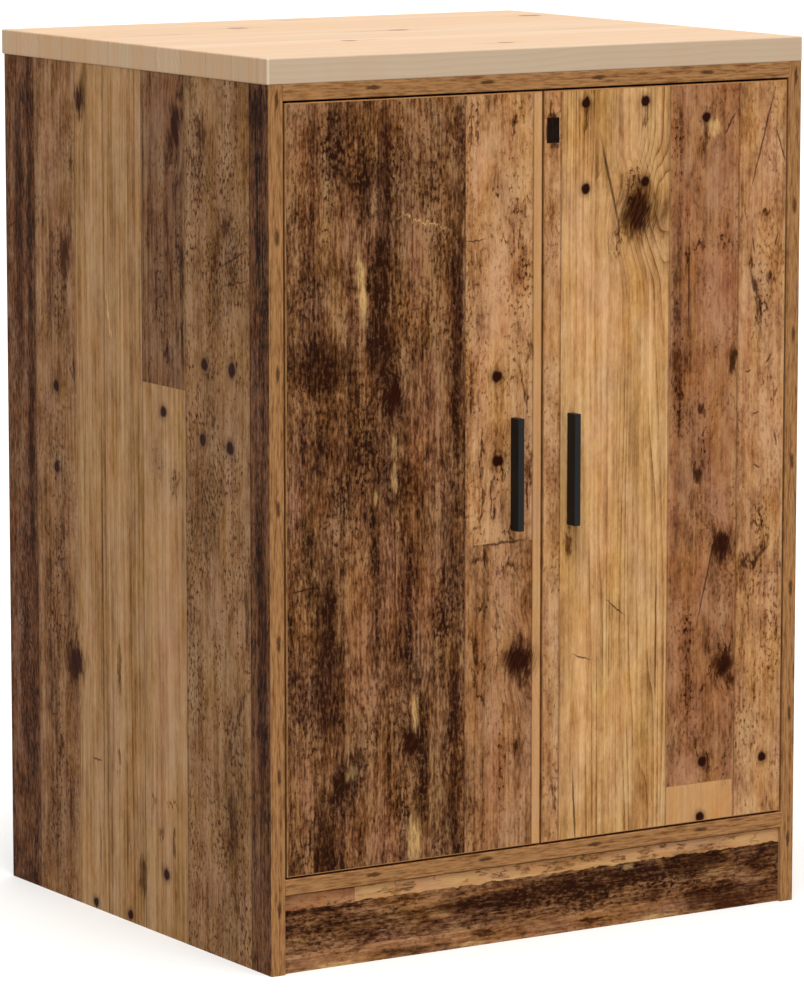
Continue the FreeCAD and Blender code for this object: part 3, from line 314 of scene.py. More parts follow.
LEFT_SIDE = board(
    across="Y", along="Z", thick="X", origin=-248.5, middle=-291.5, inner="GREATER_THAN", end=506.0,
    planks=(
        (0, "soot", 0.11), (35, "worn", 0.29), (153, "grey", 0.53), (235, "fawn", 0.67), (308, "fawn", 0.05),
        (364, "brown", 0.91), (446, "umber", 0.43),
    ),
    inserts=((154, 235, -20, 531, "fawn", 0.77),),
    knots=((354, 789, 8, 15), (170, 778, 10, 22), (370, 239, 17, 19)),
    nails=(
        (406, 508, 1.1, 1.1), (406, 428, 1.1, 1.1), (118, 559, 1.2, 1.2), (68, 559, 1.25, 1.4),
        (122, 488, 1.1, 1.2), (72, 486, 1.35, 1.35), (195, 506, 1.1, 1.1), (195, 60, 1.1, 1.1), (334, 6),
        (266, 7),
    ),
    stains=(
        (187, 561, 8, 9), (122, 776, 10, 16), (139, 748, 10, 4, 34), (122, 748, 9, 4, -38), (284, 242, 4.5, 26),
        (218, 128, 4, 5), (184, 130, 12, 3), (206, 100, 3, 9), (180, 96, 3, 12), (286, 157, 3, 9),
        (20, 800, 16, 14), (16, 300, 8, 160), (480, 640, 8, 150), (458, 560, 5, 260), (160, 590, 4, 18),
        (160, 640, 5, 24), (196, 578, 4, 8), (376, 664, 4, 20), (386, 640, 8, 24), (372, 520, 4, 14),
        (402, 150, 4, 10), (58, 235, 3, 40, 24), (42, 330, 5, 26), (70, 130, 10, 34), (64, 55, 3, 34, -30),
        (240, 50, 8, 20), (78, 690, 8, 5), (98, 660, 3, 14),
    ),
    soft=(
        (170, 690, 12, 70), (118, 740, 22, 40), (400, 600, 20, 60), (390, 230, 18, 60), (200, 640, 14, 60),
        (470, 240, 20, 140), (405, 330, 30, 160), (405, 120, 30, 120), (208, 456, 16, 22), (176, 440, 10, 14),
        (92, 660, 50, 60), (66, 150, 26, 110), (120, 420, 30, 50),
    ),
    chips=((301, 590, 1.4, 30, -14),),
    lines=(
        (324, 62, 1.2, 30), (62, 640, 24, 1.0, -12), (180, 640, 1.2, 42, -10), (232, 690, 1.0, 120),
        (490, 660, 24, 0.9, -24), (316, 300, 1.0, 230), (66, 662, 26, 1.2, -22), (330, 150, 10, 1.0),
    ),
    faded=(
        (494, 150, 8, 120), (340, 250, 10, 70), (410, 740, 20, 60), (200, 790, 22, 24), (395, 180, 6, 120),
        (195, 280, 30, 200),
    ),
)

RIGHT_SIDE = board(
    across="Y", along="Z", thick="X", origin=-248.5, middle=291.5, inner="LESS_THAN", end=506.0,
    planks=((0, "tan", 0.81), (62, "ochre", 0.15), (178, "rust", 0.63), (262, "stained", 0.35), (418, "fawn", 0.97)),
    inserts=((179, 262, -20, 214, "insert", 0.49),),
    knots=((118, 560, 16, 15), (226, 690, 9, 13), (462, 330, 10, 16)),
    nails=(
        (90, 760), (150, 762), (90, 300), (150, 298), (220, 190), (220, 240),
        (440, 610), (480, 606),
    ),
    stains=((300, 640, 10, 110), (380, 420, 12, 130), (340, 180, 24, 40), (410, 560, 6, 200)),
    soft=((190, 480, 10, 90), (30, 420, 14, 40), (104, 530, 20, 30)),
    chips=((330, 520, 5, 30), (350, 300, 4, 18), (300, 250, 4, 22)),
    lines=((130, 380, 1.1, 80), (240, 420, 1.2, 60, -8), (40, 640, 20, 0.9, 20)),
)

PLINTH = board(
    across="Z", along="X", thick="Y", origin=0.0, middle=-236.0, inner="GREATER_THAN", end=75.0, ragged=0.35,
    planks=((0, "dun", 0.27), (17, "stained", 0.87), (60, "insert", 0.07)),
    inserts=((59, 76, -300, -206, "rust", 0.57),),
    stains=(
        (48, 60, 10, 90), (42, -60, 8, 70), (58, -250, 2, 70), (52, 180, 12, 40), (46, 262, 12, 20),
        (67, -150, 3, 10), (66, 126, 7, 7), (69, -18, 5, 4), (67, 26, 4, 14), (68, 168, 5, 5), (66, -176, 2, 16),
        (65, -160, 7, 4), (70, -112, 4, 2), (64, -84, 4, 3), (71, -64, 3, 3), (66, -44, 6, 3), (72, -6, 2, 3),
        (64, 8, 4, 4), (68, 62, 3, 10), (65, 92, 4, 5), (70, 148, 3, 4), (66, 196, 6, 3), (70, 226, 3, 5),
        (66, 256, 5, 3), (10, -60, 3, 14), (14, -210, 3, 18), (8, 60, 2, 14), (14, 225, 14, 60),
    ),
    soft=((30, -200, 12, 70), (34, 100, 14, 160), (18, 220, 20, 70), (70, 60, 5, 30), (66, 210, 8, 26)),
    chips=(
        (2, -230, 2, 30), (3, -80, 2, 20), (3, 140, 2, 26), (55, 104, 3, 6), (61, -20, 2, 50), (62, 88, 2, 40),
        (70, -188, 4, 14), (68, -96, 4, 24), (66, 240, 4, 24),
    ),
    # The first line is a painted shadow along the plinth's top edge, in the joint under the bottom board
    lines=((74.4, 0, 1.2, 600), (56, -260, 0.8, 34, 2)),
    # The last two are painted light that lifts the pale strip against the shade under the bottom board
    faded=((24, -150, 8, 60), (12, 200, 6, 60), (22, 240, 8, 30), (68, -110, 7, 90), (68, 160, 7, 130)),
)


def level_board(middle, seed):
    """A lying board whose planks run from side to side."""
    return board(
        across="Y", along="X", thick="Z", origin=-248.5, middle=middle, inner="LESS_THAN", end=506.0,
        planks=(
            (0, "rust", seed), (84, "ochre", seed + 0.11), (206, "stained", seed + 0.23), (310, "tan", seed + 0.37),
            (402, "fawn", seed + 0.05),
        ),
        knots=((150, 120, 14, 18), (350, -90, 9, 12)),
        nails=((110, -210), (180, -208), (340, 150), (440, 152)),
        stains=((250, -60, 10, 90), (280, 140, 12, 60)),
        soft=((60, 40, 14, 60),),
        chips=((240, 60, 4, 26),),
        lines=((120, -40, 1.0, 70), (430, 60, 1.0, 50)),
    )


TOP_BOARD = level_board(818.5, 0.21)
BOTTOM_BOARD = level_board(82.5, 0.41)
SHELF = level_board(442.5, 0.59)


def add(tree, kind, inputs, stops=(), **settings):
    """Adds a node (kind and operation) with settings, links and ramp stops, and returns its first live output."""
    kind, _, operation = kind.partition(" ")
    made = tree.nodes.new("ShaderNode" + kind)
    if operation:
        made.operation = operation
    for name, value in settings.items():
        setattr(made, name, value)
    for key, value in inputs.items() if isinstance(inputs, dict) else enumerate(inputs):
        live = [socket for socket in made.inputs if socket.enabled]
        socket = live[key] if isinstance(key, int) else next(s for s in live if s.name == key)
        if isinstance(value, bpy.types.NodeSocket):
            tree.links.new(value, socket)
        else:
            socket.default_value = value
    for number, (position, colour) in enumerate(stops):
        ramp = made.color_ramp
        ramp.interpolation = "CONSTANT"
        stop = ramp.elements[0] if number == 0 else ramp.elements.new(position)
        stop.position = position
        stop.color = colour
    if stops:
        made.color_ramp.elements.remove(made.color_ramp.elements[-1])
    return next((socket for socket in made.outputs if socket.enabled), None)


def patches(tree, spot, layer):
    """Noise in patches of a layer's width and length."""
    fitted = add(tree, "VectorMath MULTIPLY", [spot, (1 / layer.wide, 1 / layer.long, 1.0)])
    pattern = {"Vector": fitted, "Scale": 1.0, "Detail": layer.detail, "Roughness": layer.rough}
    return add(tree, "TexNoise", pattern, noise_dimensions="2D")


def grain(tree, spot, layer, low=0.0, high=1.0):
    """One layer of stretched noise, spread from low to high."""
    noise = patches(tree, spot, layer)
    spread = {"Value": noise, "From Min": layer.low, "From Max": layer.high, "To Min": low, "To Max": high}
    return add(tree, "MapRange", spread)


def marked(tree, spot, ovals, *falls):
    """How far oval marks cover a spot, once for each fall from core to edge."""
    near = FAR
    for mark in ovals:
        own = add(tree, "VectorMath SUBTRACT", [spot, (mark.across, mark.along, 0.0)])
        if mark.turn:
            own = add(tree, "VectorRotate", {"Vector": own, "Angle": -math.radians(mark.turn)}, rotation_type="Z_AXIS")
        own = add(tree, "VectorMath DIVIDE", [own, (mark.half_width, mark.half_length, 1.0)])
        off = add(tree, "VectorMath LENGTH", [own])
        near = add(tree, "Math MINIMUM", [off, near])
    covers = []
    for core, edge in falls:
        fall = {"Value": near, "From Min": core, "From Max": edge, "To Min": 1.0, "To Max": 0.0}
        covers.append(add(tree, "MapRange", fall, interpolation_type="SMOOTHSTEP"))
    return covers


def lay(tree, colour, *coats):
    """Lays coats over a colour. A coat is its cover, its strength and its own colour."""
    for cover, strength, coat in coats:
        amount = add(tree, "Math MULTIPLY", [cover, strength])
        colour = add(tree, "Mix", {"Factor": amount, "A": colour, "B": coat}, data_type="RGBA")
    return colour


def toned(tree, tone, dark, mid, light):
    """Turns a tone from 0 to 1 into a colour from dark over middle to light."""
    lower = add(tree, "MapRange", {"Value": tone, "From Max": 0.5})
    upper = add(tree, "MapRange", {"Value": tone, "From Min": 0.5})
    under = add(tree, "Mix", {"Factor": lower, "A": dark, "B": mid}, data_type="RGBA")
    return add(tree, "Mix", {"Factor": upper, "A": under, "B": light}, data_type="RGBA")


def rgba(colour):
    """A colour with full alpha."""
    return (*colour[:3], 1.0)


def in_millimetres(tree):
    """Where a spot is on the object, in millimetres, and which way its face looks."""
    place = add(tree, "TexCoord", {}).node.outputs
    fitted = add(tree, "Mapping", {"Vector": place["Object"], "Scale": (MM_PER_M, MM_PER_M, MM_PER_M)})
    return fitted, add(tree, "SeparateXYZ", [fitted]).node.outputs, place["Normal"]


def steepness(tree, normal, axis):
    """How squarely a face looks along an axis, either way."""
    facing = add(tree, "SeparateXYZ", [normal]).node.outputs[axis]
    return add(tree, "Math ABSOLUTE", [facing])


def plank_columns(planks, name, seed):
    """A plank's dark, middle and light shades, and its print as three triples."""
    shades = [rgba(getattr(planks, f"{name}_{level}")) for level in LEVELS]
    fibre, streak, blotch, lane, ring, fleck, level = KINDS[name][len(LEVELS) : -1]
    return [*shades, *map(rgba, ((fibre, streak, blotch), (ring, fleck, level), (lane, seed % 1.0, 0.0)))]


def plank_print(tree, table, look):
    """The print of old planks on one board: its colour, its roughness and its relief."""
    node = partial(add, tree)
    planks, sizes = look.planks, look.sizes
    mark_colour, hole_colour, chip_colour = rgba(planks.mark), rgba(planks.hole), rgba(planks.chip)
    millimetres, axes, normal = in_millimetres(tree)

    # The board's other face has its planks the other way round
    inner = node("Math", [axes[table.thick], table.middle], operation=table.inner)
    outer_across = node("Math SUBTRACT", [axes[table.across], table.origin])
    inner_across = node("Math SUBTRACT", [table.end, outer_across])
    across = node("Mix", {"Factor": inner, "A": outer_across, "B": inner_across}, data_type="FLOAT")
    along = node("Math MULTIPLY_ADD", [inner, INNER_SHIFT, axes[table.along]])
    flat = node("CombineXYZ", {"X": across, "Y": along})

    # Three ways to draw a mark's edge: steady, frayed, or ragged along the fibres
    ragged_noise = patches(tree, flat, RAGGED).node.outputs["Color"]
    centred = tuple(-push / 2 for push in RAGGED_PUSH)
    ragged_shift = node("VectorMath MULTIPLY_ADD", [ragged_noise, RAGGED_PUSH, centred])
    drawn, frayed, ragged = (
        node("VectorMath MULTIPLY_ADD", [ragged_shift, (share, share, 0.0), flat]) for share in RAGGED_SHARES
    )

    # Each plank's shades and print, then the inserts'
    shifted = node("SeparateXYZ", [ragged_shift]).node.outputs["X"]
    broken_across = node("Math MULTIPLY_ADD", [shifted, table.ragged, across])
    step = node("MapRange", {"Value": broken_across, "From Min": 0.0, "From Max": table.end})
    starts = [plank.start / table.end for plank in table.planks]
    rows = zip(*(plank_columns(planks, plank.kind, plank.seed) for plank in table.planks))
    columns = [node("ValToRGB", {"Fac": step}, stops=list(zip(starts, row))) for row in rows]
    for insert in table.inserts:
        middle = ((insert.left + insert.right) / 2, (insert.low + insert.high) / 2, 0.0)
        own = node("VectorMath SUBTRACT", [flat, middle])
        half = ((insert.right - insert.left) / 2, (insert.high - insert.low) / 2, 1.0)
        own = node("VectorMath DIVIDE", [own, half])
        sides = node("SeparateXYZ", [node("VectorMath ABSOLUTE", [own])]).node.outputs
        widest = node("Math MAXIMUM", [sides["X"], sides["Y"]])
        inside = node("Math LESS_THAN", [widest, 1.0])
        pairs = zip(columns, plank_columns(planks, insert.kind, insert.seed))
        columns = [node("Mix", {"Factor": inside, "A": old, "B": new}, data_type="RGBA") for old, new in pairs]
    dark, mid, light = columns[:3]
    first, second, third = (node("SeparateColor", [column]).node.outputs for column in columns[3:])

    # Each plank is its own piece of wood, whose fibres swirl at the knots
    swirled = flat
    for knot in table.knots:
        (near,) = marked(tree, flat, (knot,), SWIRL_FALL)
        angle = node("Math MULTIPLY", [near, SWIRL])
        spin = {"Vector": swirled, "Center": (knot.across, knot.along, 0.0), "Angle": angle}
        swirled = node("VectorRotate", spin, rotation_type="Z_AXIS")
    shift = node("CombineXYZ", {"X": third["Green"], "Y": third["Green"]})
    own_wood = node("VectorMath MULTIPLY_ADD", [shift, OWN_WOOD, swirled])

    # Growth lines bend round the knots
    (bend,) = marked(tree, flat, table.knots, BEND_FALL)
    wander = grain(tree, own_wood, WANDER, 0.0, RING_WANDER)
    turns = node("Math MULTIPLY_ADD", [across, 1 / (sizes.ring_spacing * MM_PER_M), wander])
    phase = node("Math MULTIPLY_ADD", [bend, RING_BEND, turns])
    sharp = node("Math POWER", [node("Math FRACT", [phase]), RING_POWER])
    late_wood = node("Math MULTIPLY", [sharp, grain(tree, own_wood, CLEAR, RING_LEAST)])
    (fade_and_painted_light,) = marked(tree, ragged, table.faded, SOFT_FALL)
    lined = node("Math MULTIPLY_ADD", [fade_and_painted_light, RING_FADE, 1.0])
    late_wood = node("Math MULTIPLY", [late_wood, lined])

    # From dark to light: fibres, streaks, blotches and lanes, less the late wood
    fibre = Layer(sizes.fibre_width * MM_PER_M, sizes.fibre_length * MM_PER_M, *FIBRE)
    fibres = grain(tree, own_wood, fibre, -SWING, SWING)
    tone = node("Math MULTIPLY_ADD", [fibres, first["Red"], second["Blue"]])
    for layer, weight in ((STREAK, first["Green"]), (BLOTCH, first["Blue"]), (LANE, third["Red"])):
        swing = grain(tree, own_wood, layer, -SWING, SWING)
        tone = node("Math MULTIPLY_ADD", [swing, weight, tone])
    line = node("Math MULTIPLY", [late_wood, second["Red"]])
    tone = node("Math SUBTRACT", [tone, line])

    # Faded areas and painted light lift the tone, smudges, stains and knots sink it
    (smudge,) = marked(tree, ragged, table.soft, SOFT_FALL)
    (stain,) = marked(tree, ragged, table.stains, STAIN_FALL)
    (heart,) = marked(tree, ragged, table.knots, HEART_FALL)
    (core,) = marked(tree, frayed, table.knots, CORE_FALL)
    for cover, lift in ((fade_and_painted_light, 0.17), (smudge, -0.14), (stain, -0.32), (heart, -0.5)):
        tone = node("Math MULTIPLY_ADD", [cover, lift, tone])
    colour = toned(tree, tone, dark, mid, light)

    # Dark flecks crowd together, most of all in the smudges, and pale fibres lie between them
    speck = grain(tree, own_wood, SPECK)
    crowd = grain(tree, own_wood, CROWD, CROWD_LOW, CROWD_HIGH)
    crowd = node("Math MULTIPLY_ADD", [smudge, SMUDGE_CROWD, crowd])
    peak = node("Math ADD", [speck, crowd])
    fleck = node("MapRange", {"Value": peak, "From Min": FLECK_FROM, "From Max": FLECK_FULL})
    pit = node("MapRange", {"Value": peak, "From Min": PIT_FROM, "From Max": PIT_FULL})
    reach = node("Math MAXIMUM", [second["Green"], smudge])
    calm = node("Math MULTIPLY_ADD", [fade_and_painted_light, FLECK_FADE, 1.0])
    reach = node("Math MULTIPLY", [reach, calm])
    glint = node("MapRange", {"Value": speck, "From Min": GLINT_FROM, "From Max": GLINT_FULL, "To Max": GLINT})
    colour = lay(tree, colour, (fleck, reach, dark), (pit, reach, mark_colour), (glint, second["Green"], light))

    # Some wood leans to red, most of all in faded areas and under painted light, and some to yellow
    leaning = grain(tree, own_wood, LEAN, HUE_LOW, HUE_HIGH)
    leaning = node("Math MULTIPLY_ADD", [fade_and_painted_light, HUE_FADE, leaning])
    fullness = grain(tree, own_wood, FULL, FULL_LOW, FULL_HIGH)
    colour = node("HueSaturation", {"Hue": leaning, "Saturation": fullness, "Color": colour})

    # Marks in strands, chips on the high fibres, cracks and a painted shadow line, plank joints and nail holes
    strand = grain(tree, own_wood, STRAND, STRAND_LEAST)
    half_strand = node("Math MULTIPLY_ADD", [strand, 0.5, 0.5])
    (chip,) = marked(tree, frayed, table.chips, CHIP_FALL)
    chip = node("Math MULTIPLY", [chip, half_strand])
    stain, heart, pith = (node("Math MULTIPLY", [cover, strand]) for cover in (stain, heart, core))
    high_fibres = node("MapRange", {"Value": tone, **CHIP_FIBRES})
    (crack_and_shadow_line,) = marked(tree, drawn, table.lines, CRACK_AND_SHADOW_FALL)
    joint = 0.0
    for plank in () if table.ragged else table.planks[1:]:
        close = node("Math COMPARE", [across, float(plank.start), JOINT_HALF])
        joint = node("Math MAXIMUM", [close, joint])
    half_hole = sizes.nail_hole * MM_PER_M / 2
    holes = marks((n.across, n.along, half_hole * n.half_width, half_hole * n.half_length) for n in table.nails)
    (sunk_hole,) = marked(tree, flat, holes, SUNK_FALL)
    halo, hole = marked(tree, drawn, holes, HALO_FALL, HOLE_FALL)
    colour = lay(
        tree,
        colour,
        (smudge, 0.12, mark_colour),
        (stain, 0.66, mark_colour),
        (heart, 0.9, mark_colour),
        (core, 0.75, mark_colour),
        (pith, 0.9, hole_colour),
        (chip, high_fibres, chip_colour),
        # Cracks, and on the plinth a painted shadow line under the bottom board
        (crack_and_shadow_line, 0.75, mark_colour),
        (joint, 0.38, mark_colour),
        (halo, 0.35, mark_colour),
        (hole, 1.0, hole_colour),
    )

    # Bare chipboard in holes and on cut edges
    cut = node("Math LESS_THAN", [steepness(tree, normal, table.thick), FACING])
    flakes = node("TexNoise", {"Vector": millimetres, **FLAKES})
    flake_tone = node("MapRange", {"Value": flakes, **FLAKE_TONES})
    flake_colour = lay(tree, mark_colour, (flake_tone, 1.0, rgba(look.finishes.chipboard)))
    colour = lay(tree, colour, (cut, 1.0, flake_colour))

    sunk = node("Math MAXIMUM", [joint, sunk_hole])
    relief = node("Math SUBTRACT", [fibres, sunk])
    roughness = node("MapRange", {"Value": tone, **FOIL_ROUGHNESS})
    return colour, roughness, relief


# Edge band: streaks, lanes and the waver of its dashes, the lanes' share, how much paler its palest tone is, how far a
# dash wavers in mm, and the dash's own oval in mm with its fall
BAND_STREAK = Layer(1.8, 17.0, 4.0, 0.62, 0.36, 0.64)
BAND_LANE = Layer(4.0, 60.0, 3.0, 0.50, 0.30, 0.70)
BAND_WAVER = Layer(2.0, 5.0, 2.0, 0.50, 0.20, 0.80)
BAND_LANE_SHARE, BAND_PALER, DASH_WAVER = 0.4, 1.35, 0.9
DASH = Mark(1.0, 0.0, 2.2, 9.0)
DASH_FALL = (0.5, 1.25)


def band_print(tree, look, along, across, middle):
    """Printed plastic edge band: warm brown, streaked along its length, with pore dashes at a steady repeat."""
    node = partial(add, tree)
    finishes = look.finishes
    _, axes, normal = in_millimetres(tree)
    run = axes[along]
    if along == "Z" and across == "Y":
        # A door's bands also run along its lying edges
        lying = node("Math GREATER_THAN", [steepness(tree, normal, "Z"), FACING])
        run = node("Mix", {"Factor": lying, "A": axes["Z"], "B": axes["X"]}, data_type="FLOAT")
    side = node("Math SUBTRACT", [axes[across], middle])
    flat = node("CombineXYZ", {"X": side, "Y": run})
    streak = grain(tree, flat, BAND_STREAK)
    lane = grain(tree, flat, BAND_LANE)
    tone = node("Mix", {"Factor": BAND_LANE_SHARE, "A": streak, "B": lane}, data_type="FLOAT")
    pale = tuple(min(1.0, channel * BAND_PALER) for channel in finishes.band)
    colour = toned(tree, tone, rgba(finishes.band_dark), rgba(finishes.band), rgba(pale))
    repeat = look.sizes.dash_spacing * MM_PER_M
    turn = node("Math MULTIPLY", [run, 1 / repeat])
    part = node("Math SUBTRACT", [node("Math FRACT", [turn]), 0.5])
    reach = node("Math MULTIPLY", [part, repeat])
    waver = grain(tree, flat, BAND_WAVER, -DASH_WAVER, DASH_WAVER)
    wavy_side = node("Math ADD", [side, waver])
    cell = node("CombineXYZ", {"X": wavy_side, "Y": reach})
    (dash,) = marked(tree, cell, (DASH,), DASH_FALL)
    colour = lay(tree, colour, (dash, 0.85, rgba(finishes.band_dash)))
    relief = node("Math SUBTRACT", [tone, dash])
    roughness = node("MapRange", {"Value": tone, **SATIN_ROUGHNESS})
    return colour, roughness, relief


# Knots of the worktop, the streaks that run out of them and its upright corners, across and along the staves in mm
PINE_KNOTS = marks(((151, -96, 9, 10), (-71, -104, 7, 8), (42, 23, 8, 12), (170, 263, 9, 12), (-174, 7, 6, 8)))
PINE_TAILS = marks((
    (151, -92, 5, 44), (-71, -96, 4, 52), (42, 10, 6, 66), (170, 262, 5, 46), (-174, 5, 4, 34), (235, 20, 5, 34),
    (-30, 190, 4, 60), (96, -210, 4, 50),
))
# Upright corners of the worktop, where a highlight is painted
PINE_CORNERS = marks((across, along, 2, 2) for across in (-248.5, 261.5) for along in (-300, 300))
PINE_FALL, PINE_CORE_FALL, PINE_BOW_FALL = (0.7, 1.25), (0.1, 0.7), (0.2, 3.4)
PINE_TAIL_FALL, PINE_CORNER_FALL = (0.0, 1.2), (0.4, 1.3)

# Pine: uneven edges of knots, wandering growth lines, fibres and rosy streaks
PINE_UNEVEN = Layer(6.0, 14.0, 2.0, 0.50, 0.20, 0.80)
PINE_WANDER = Layer(40.0, 380.0, 3.0, 0.50, 0.20, 0.80)
PINE_FIBRE = Layer(1.6, 90.0, 4.0, 0.60, 0.30, 0.70)
PINE_STREAK = Layer(11.0, 240.0, 4.0, 0.60, 0.46, 0.68)

# Seam of two staves as a share of one, and in mm: how far apart their wood lies in the noise, uneven edges, wander,
# bow round a knot and growth line spacing
STAVE_SEAM = 0.022
STAVE_APART, KNOT_UNEVEN, PINE_DRIFT, PINE_BOW, PINE_RING = 700.0, 2.5, 9.0, 15.0, 7.0

# Growth lines of the pine: lean to either side, more on the planed edges, and the power that thins the late wood
PINE_LEAN, PLANED_LEAN, PINE_POWER = 0.5, 1.1, 2.6


def pine_wood(tree, look):
    """Sanded edge-glued pine, oiled thinly: pale quarter-sawn staves, rosy streaks, knots, painted corner highlights.
    """
    node = partial(add, tree)
    finishes = look.finishes
    _, axes, normal = in_millimetres(tree)
    width = look.sizes.stave_width * MM_PER_M
    stave = node("Math MULTIPLY", [axes["Y"], 1 / width])
    number = node("Math FLOOR", [stave])
    chance = node("TexWhiteNoise", {"W": number}, noise_dimensions="1D").node.outputs["Color"]
    own = node("SeparateColor", [chance]).node.outputs
    part = node("Math FRACT", [stave])
    seam = node("Math COMPARE", [part, 0.0, STAVE_SEAM])
    face = node("CombineXYZ", {"X": axes["Y"], "Y": axes["X"]})
    apart = node("Math MULTIPLY_ADD", [number, STAVE_APART, axes["X"]])
    wood = node("CombineXYZ", {"X": axes["Y"], "Y": apart})

    # Growth lines run along the staves and stand nearly upright on the end grain
    uneven = grain(tree, wood, PINE_UNEVEN, -KNOT_UNEVEN, KNOT_UNEVEN)
    wavy = node("Math ADD", [axes["Y"], uneven])
    wavy_face = node("CombineXYZ", {"X": wavy, "Y": axes["X"]})
    core, knot = marked(tree, wavy_face, PINE_KNOTS, PINE_CORE_FALL, PINE_FALL)
    (round_knot,) = marked(tree, face, PINE_KNOTS, PINE_BOW_FALL)
    planed = node("Math GREATER_THAN", [steepness(tree, normal, "Y"), FACING])
    lean = node("MapRange", {"Value": own["Red"], "To Min": -PINE_LEAN, "To Max": PINE_LEAN})
    slope = node("Math MULTIPLY_ADD", [planed, PLANED_LEAN, lean])
    wander = grain(tree, wood, PINE_WANDER, -PINE_DRIFT, PINE_DRIFT)
    leaned = node("Math MULTIPLY_ADD", [axes["Z"], slope, wander])
    bowed = node("Math MULTIPLY_ADD", [round_knot, PINE_BOW, leaned])
    reach = node("Math ADD", [axes["Y"], bowed])
    turns = node("Math MULTIPLY", [reach, 1 / PINE_RING])
    late = node("Math POWER", [node("Math FRACT", [turns]), PINE_POWER])
    fibre = grain(tree, wood, PINE_FIBRE)
    streak = grain(tree, wood, PINE_STREAK)
    (tail,) = marked(tree, wavy_face, PINE_TAILS, PINE_TAIL_FALL)
    (corner_highlight,) = marked(tree, face, PINE_CORNERS, PINE_CORNER_FALL)
    late_colour, rosy, knot_colour = rgba(finishes.pine_late), rgba(finishes.pine_heart), rgba(finishes.pine_knot)
    colour = lay(
        tree,
        rgba(finishes.pine),
        (late, 0.6, late_colour),
        (fibre, 0.25, late_colour),
        (own["Blue"], 0.5, late_colour),
        (own["Green"], 0.35, rosy),
        (streak, 0.6, rosy),
        (seam, 0.3, knot_colour),
        (tail, 0.45, knot_colour),
        (knot, 0.95, knot_colour),
        (core, 0.35, rosy),
        (planed, 0.4, rgba(finishes.pine_planed)),
        # Painted highlight down the upright corners
        (corner_highlight, 0.6, rgba(finishes.pine_corner_highlight)),
    )
    roughness = node("MapRange", {"Value": late, **SATIN_ROUGHNESS})
    relief = node("Math ADD", [fibre, late])
    return colour, roughness, relief


# Made surfaces: how far the shade spreads, a speckle in mm, lowest and highest roughness, relief in mm, the shader's
# constants, and how many times narrower a speckle is along each axis
Made = namedtuple("Made", "spread size smooth rough relief constants stretch", defaults=({}, (1.0, 1.0, 1.0)))
MADE = {
    # Pressed wood fibres: brown, matt and finely mottled
    "pressed_hardboard": Made(0.3, 3.0, 0.6, 0.75, 0.05),
    # Powder coat on zinc: nearly black, satin, with a fine orange peel drawn at 1.2 mm so that it shows
    "black_powder_coat": Made(0.25, 1.2, 0.36, 0.5, 0.02, {"Specular IOR Level": 0.2}),
    # Nickel on pressed steel: bright, with faint rolling lines
    "nickel_plated_steel": Made(0.08, 4.0, 0.34, 0.48, 0.01, {"Metallic": 1.0}, (1.0, 6.0, 1.0)),
    # Zinc as it leaves the mould: grey, duller and slightly grainy
    "cast_zinc_alloy": Made(0.12, 1.5, 0.4, 0.58, 0.02, {"Metallic": 1.0}),
    # Turned beech: pale, with short darker flecks along the dowel
    "turned_beech": Made(0.2, 2.0, 0.5, 0.65, 0.03, {}, (0.2, 1.0, 1.0)),
    # Moulded ABS: even brown with a soft sheen
    "moulded_brown_abs": Made(0.1, 0.8, 0.4, 0.5, 0.01),
    # Sintered ferrite: charcoal, dry and grainy
    "sintered_ferrite": Made(0.2, 0.6, 0.6, 0.75, 0.02),
    # Zinc-plated steel strip: dull bright
    "zinc_plated_steel": Made(0.1, 3.0, 0.32, 0.48, 0.01, {"Metallic": 1.0}),
}

# Broad drift of a made surface, in speckles' scale, and the summed noise values of its darkest and lightest shade
BROAD_SCALE = 0.03
SPECKLE_TONES = {"From Min": 0.65, "From Max": 1.35}


def speckled(tree, colour, made):
    """A made surface whose shade and gloss drift a little."""
    place = add(tree, "TexCoord", {}).node.outputs["Object"]
    fitted = add(tree, "Mapping", {"Vector": place, "Scale": tuple(MM_PER_M * s / made.size for s in made.stretch)})
    fine = add(tree, "TexNoise", {"Vector": fitted, "Scale": 1.0, "Detail": 3.0, "Roughness": 0.6})
    broad = add(tree, "TexNoise", {"Vector": fitted, "Scale": BROAD_SCALE, "Detail": 4.0, "Roughness": 0.6})
    both = add(tree, "Math ADD", [fine, broad])
    tone = add(tree, "MapRange", {"Value": both, **SPECKLE_TONES})
    dark = tuple(channel * (1 - made.spread) for channel in colour)
    light = tuple(min(1.0, channel * (1 + made.spread)) for channel in colour)
    drifting = lay(tree, rgba(dark), (tone, 1.0, rgba(light)))
    roughness = add(tree, "MapRange", {"Value": tone, "To Min": made.smooth, "To Max": made.rough})
    return drifting, roughness, tone


def empty_tree(owner):
    """The emptied node tree of a material or world."""
    owner.use_nodes = True
    owner.node_tree.nodes.clear()
    return owner.node_tree


def material(name, build, depth, **constants):
    """A material from a function that gives its colour, roughness and relief. depth is the relief's height in mm."""
    made = bpy.data.materials.new(name)
    tree = empty_tree(made)
    colour, roughness, relief = build(tree)
    normal = add(tree, "Bump", {"Strength": 1.0, "Distance": depth / MM_PER_M, "Height": relief})
    surface = {"Base Color": colour, "Roughness": roughness, "Normal": normal, **constants}
    add(tree, "OutputMaterial", {"Surface": add(tree, "BsdfPrincipled", surface)})
    return made


def made_surface(name, colour):
    """One of the made surfaces as a material."""
    made = MADE[name]
    return material(name, lambda tree: speckled(tree, colour, made), made.relief, **made.constants)


def paint(made, *names):
    """Puts a material on CAD nodes."""
    for name in names:
        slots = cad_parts[name].material_slots
        if not slots:
            raise RuntimeError(f"{name} has no material slot")
        for slot in slots:
            slot.material = made


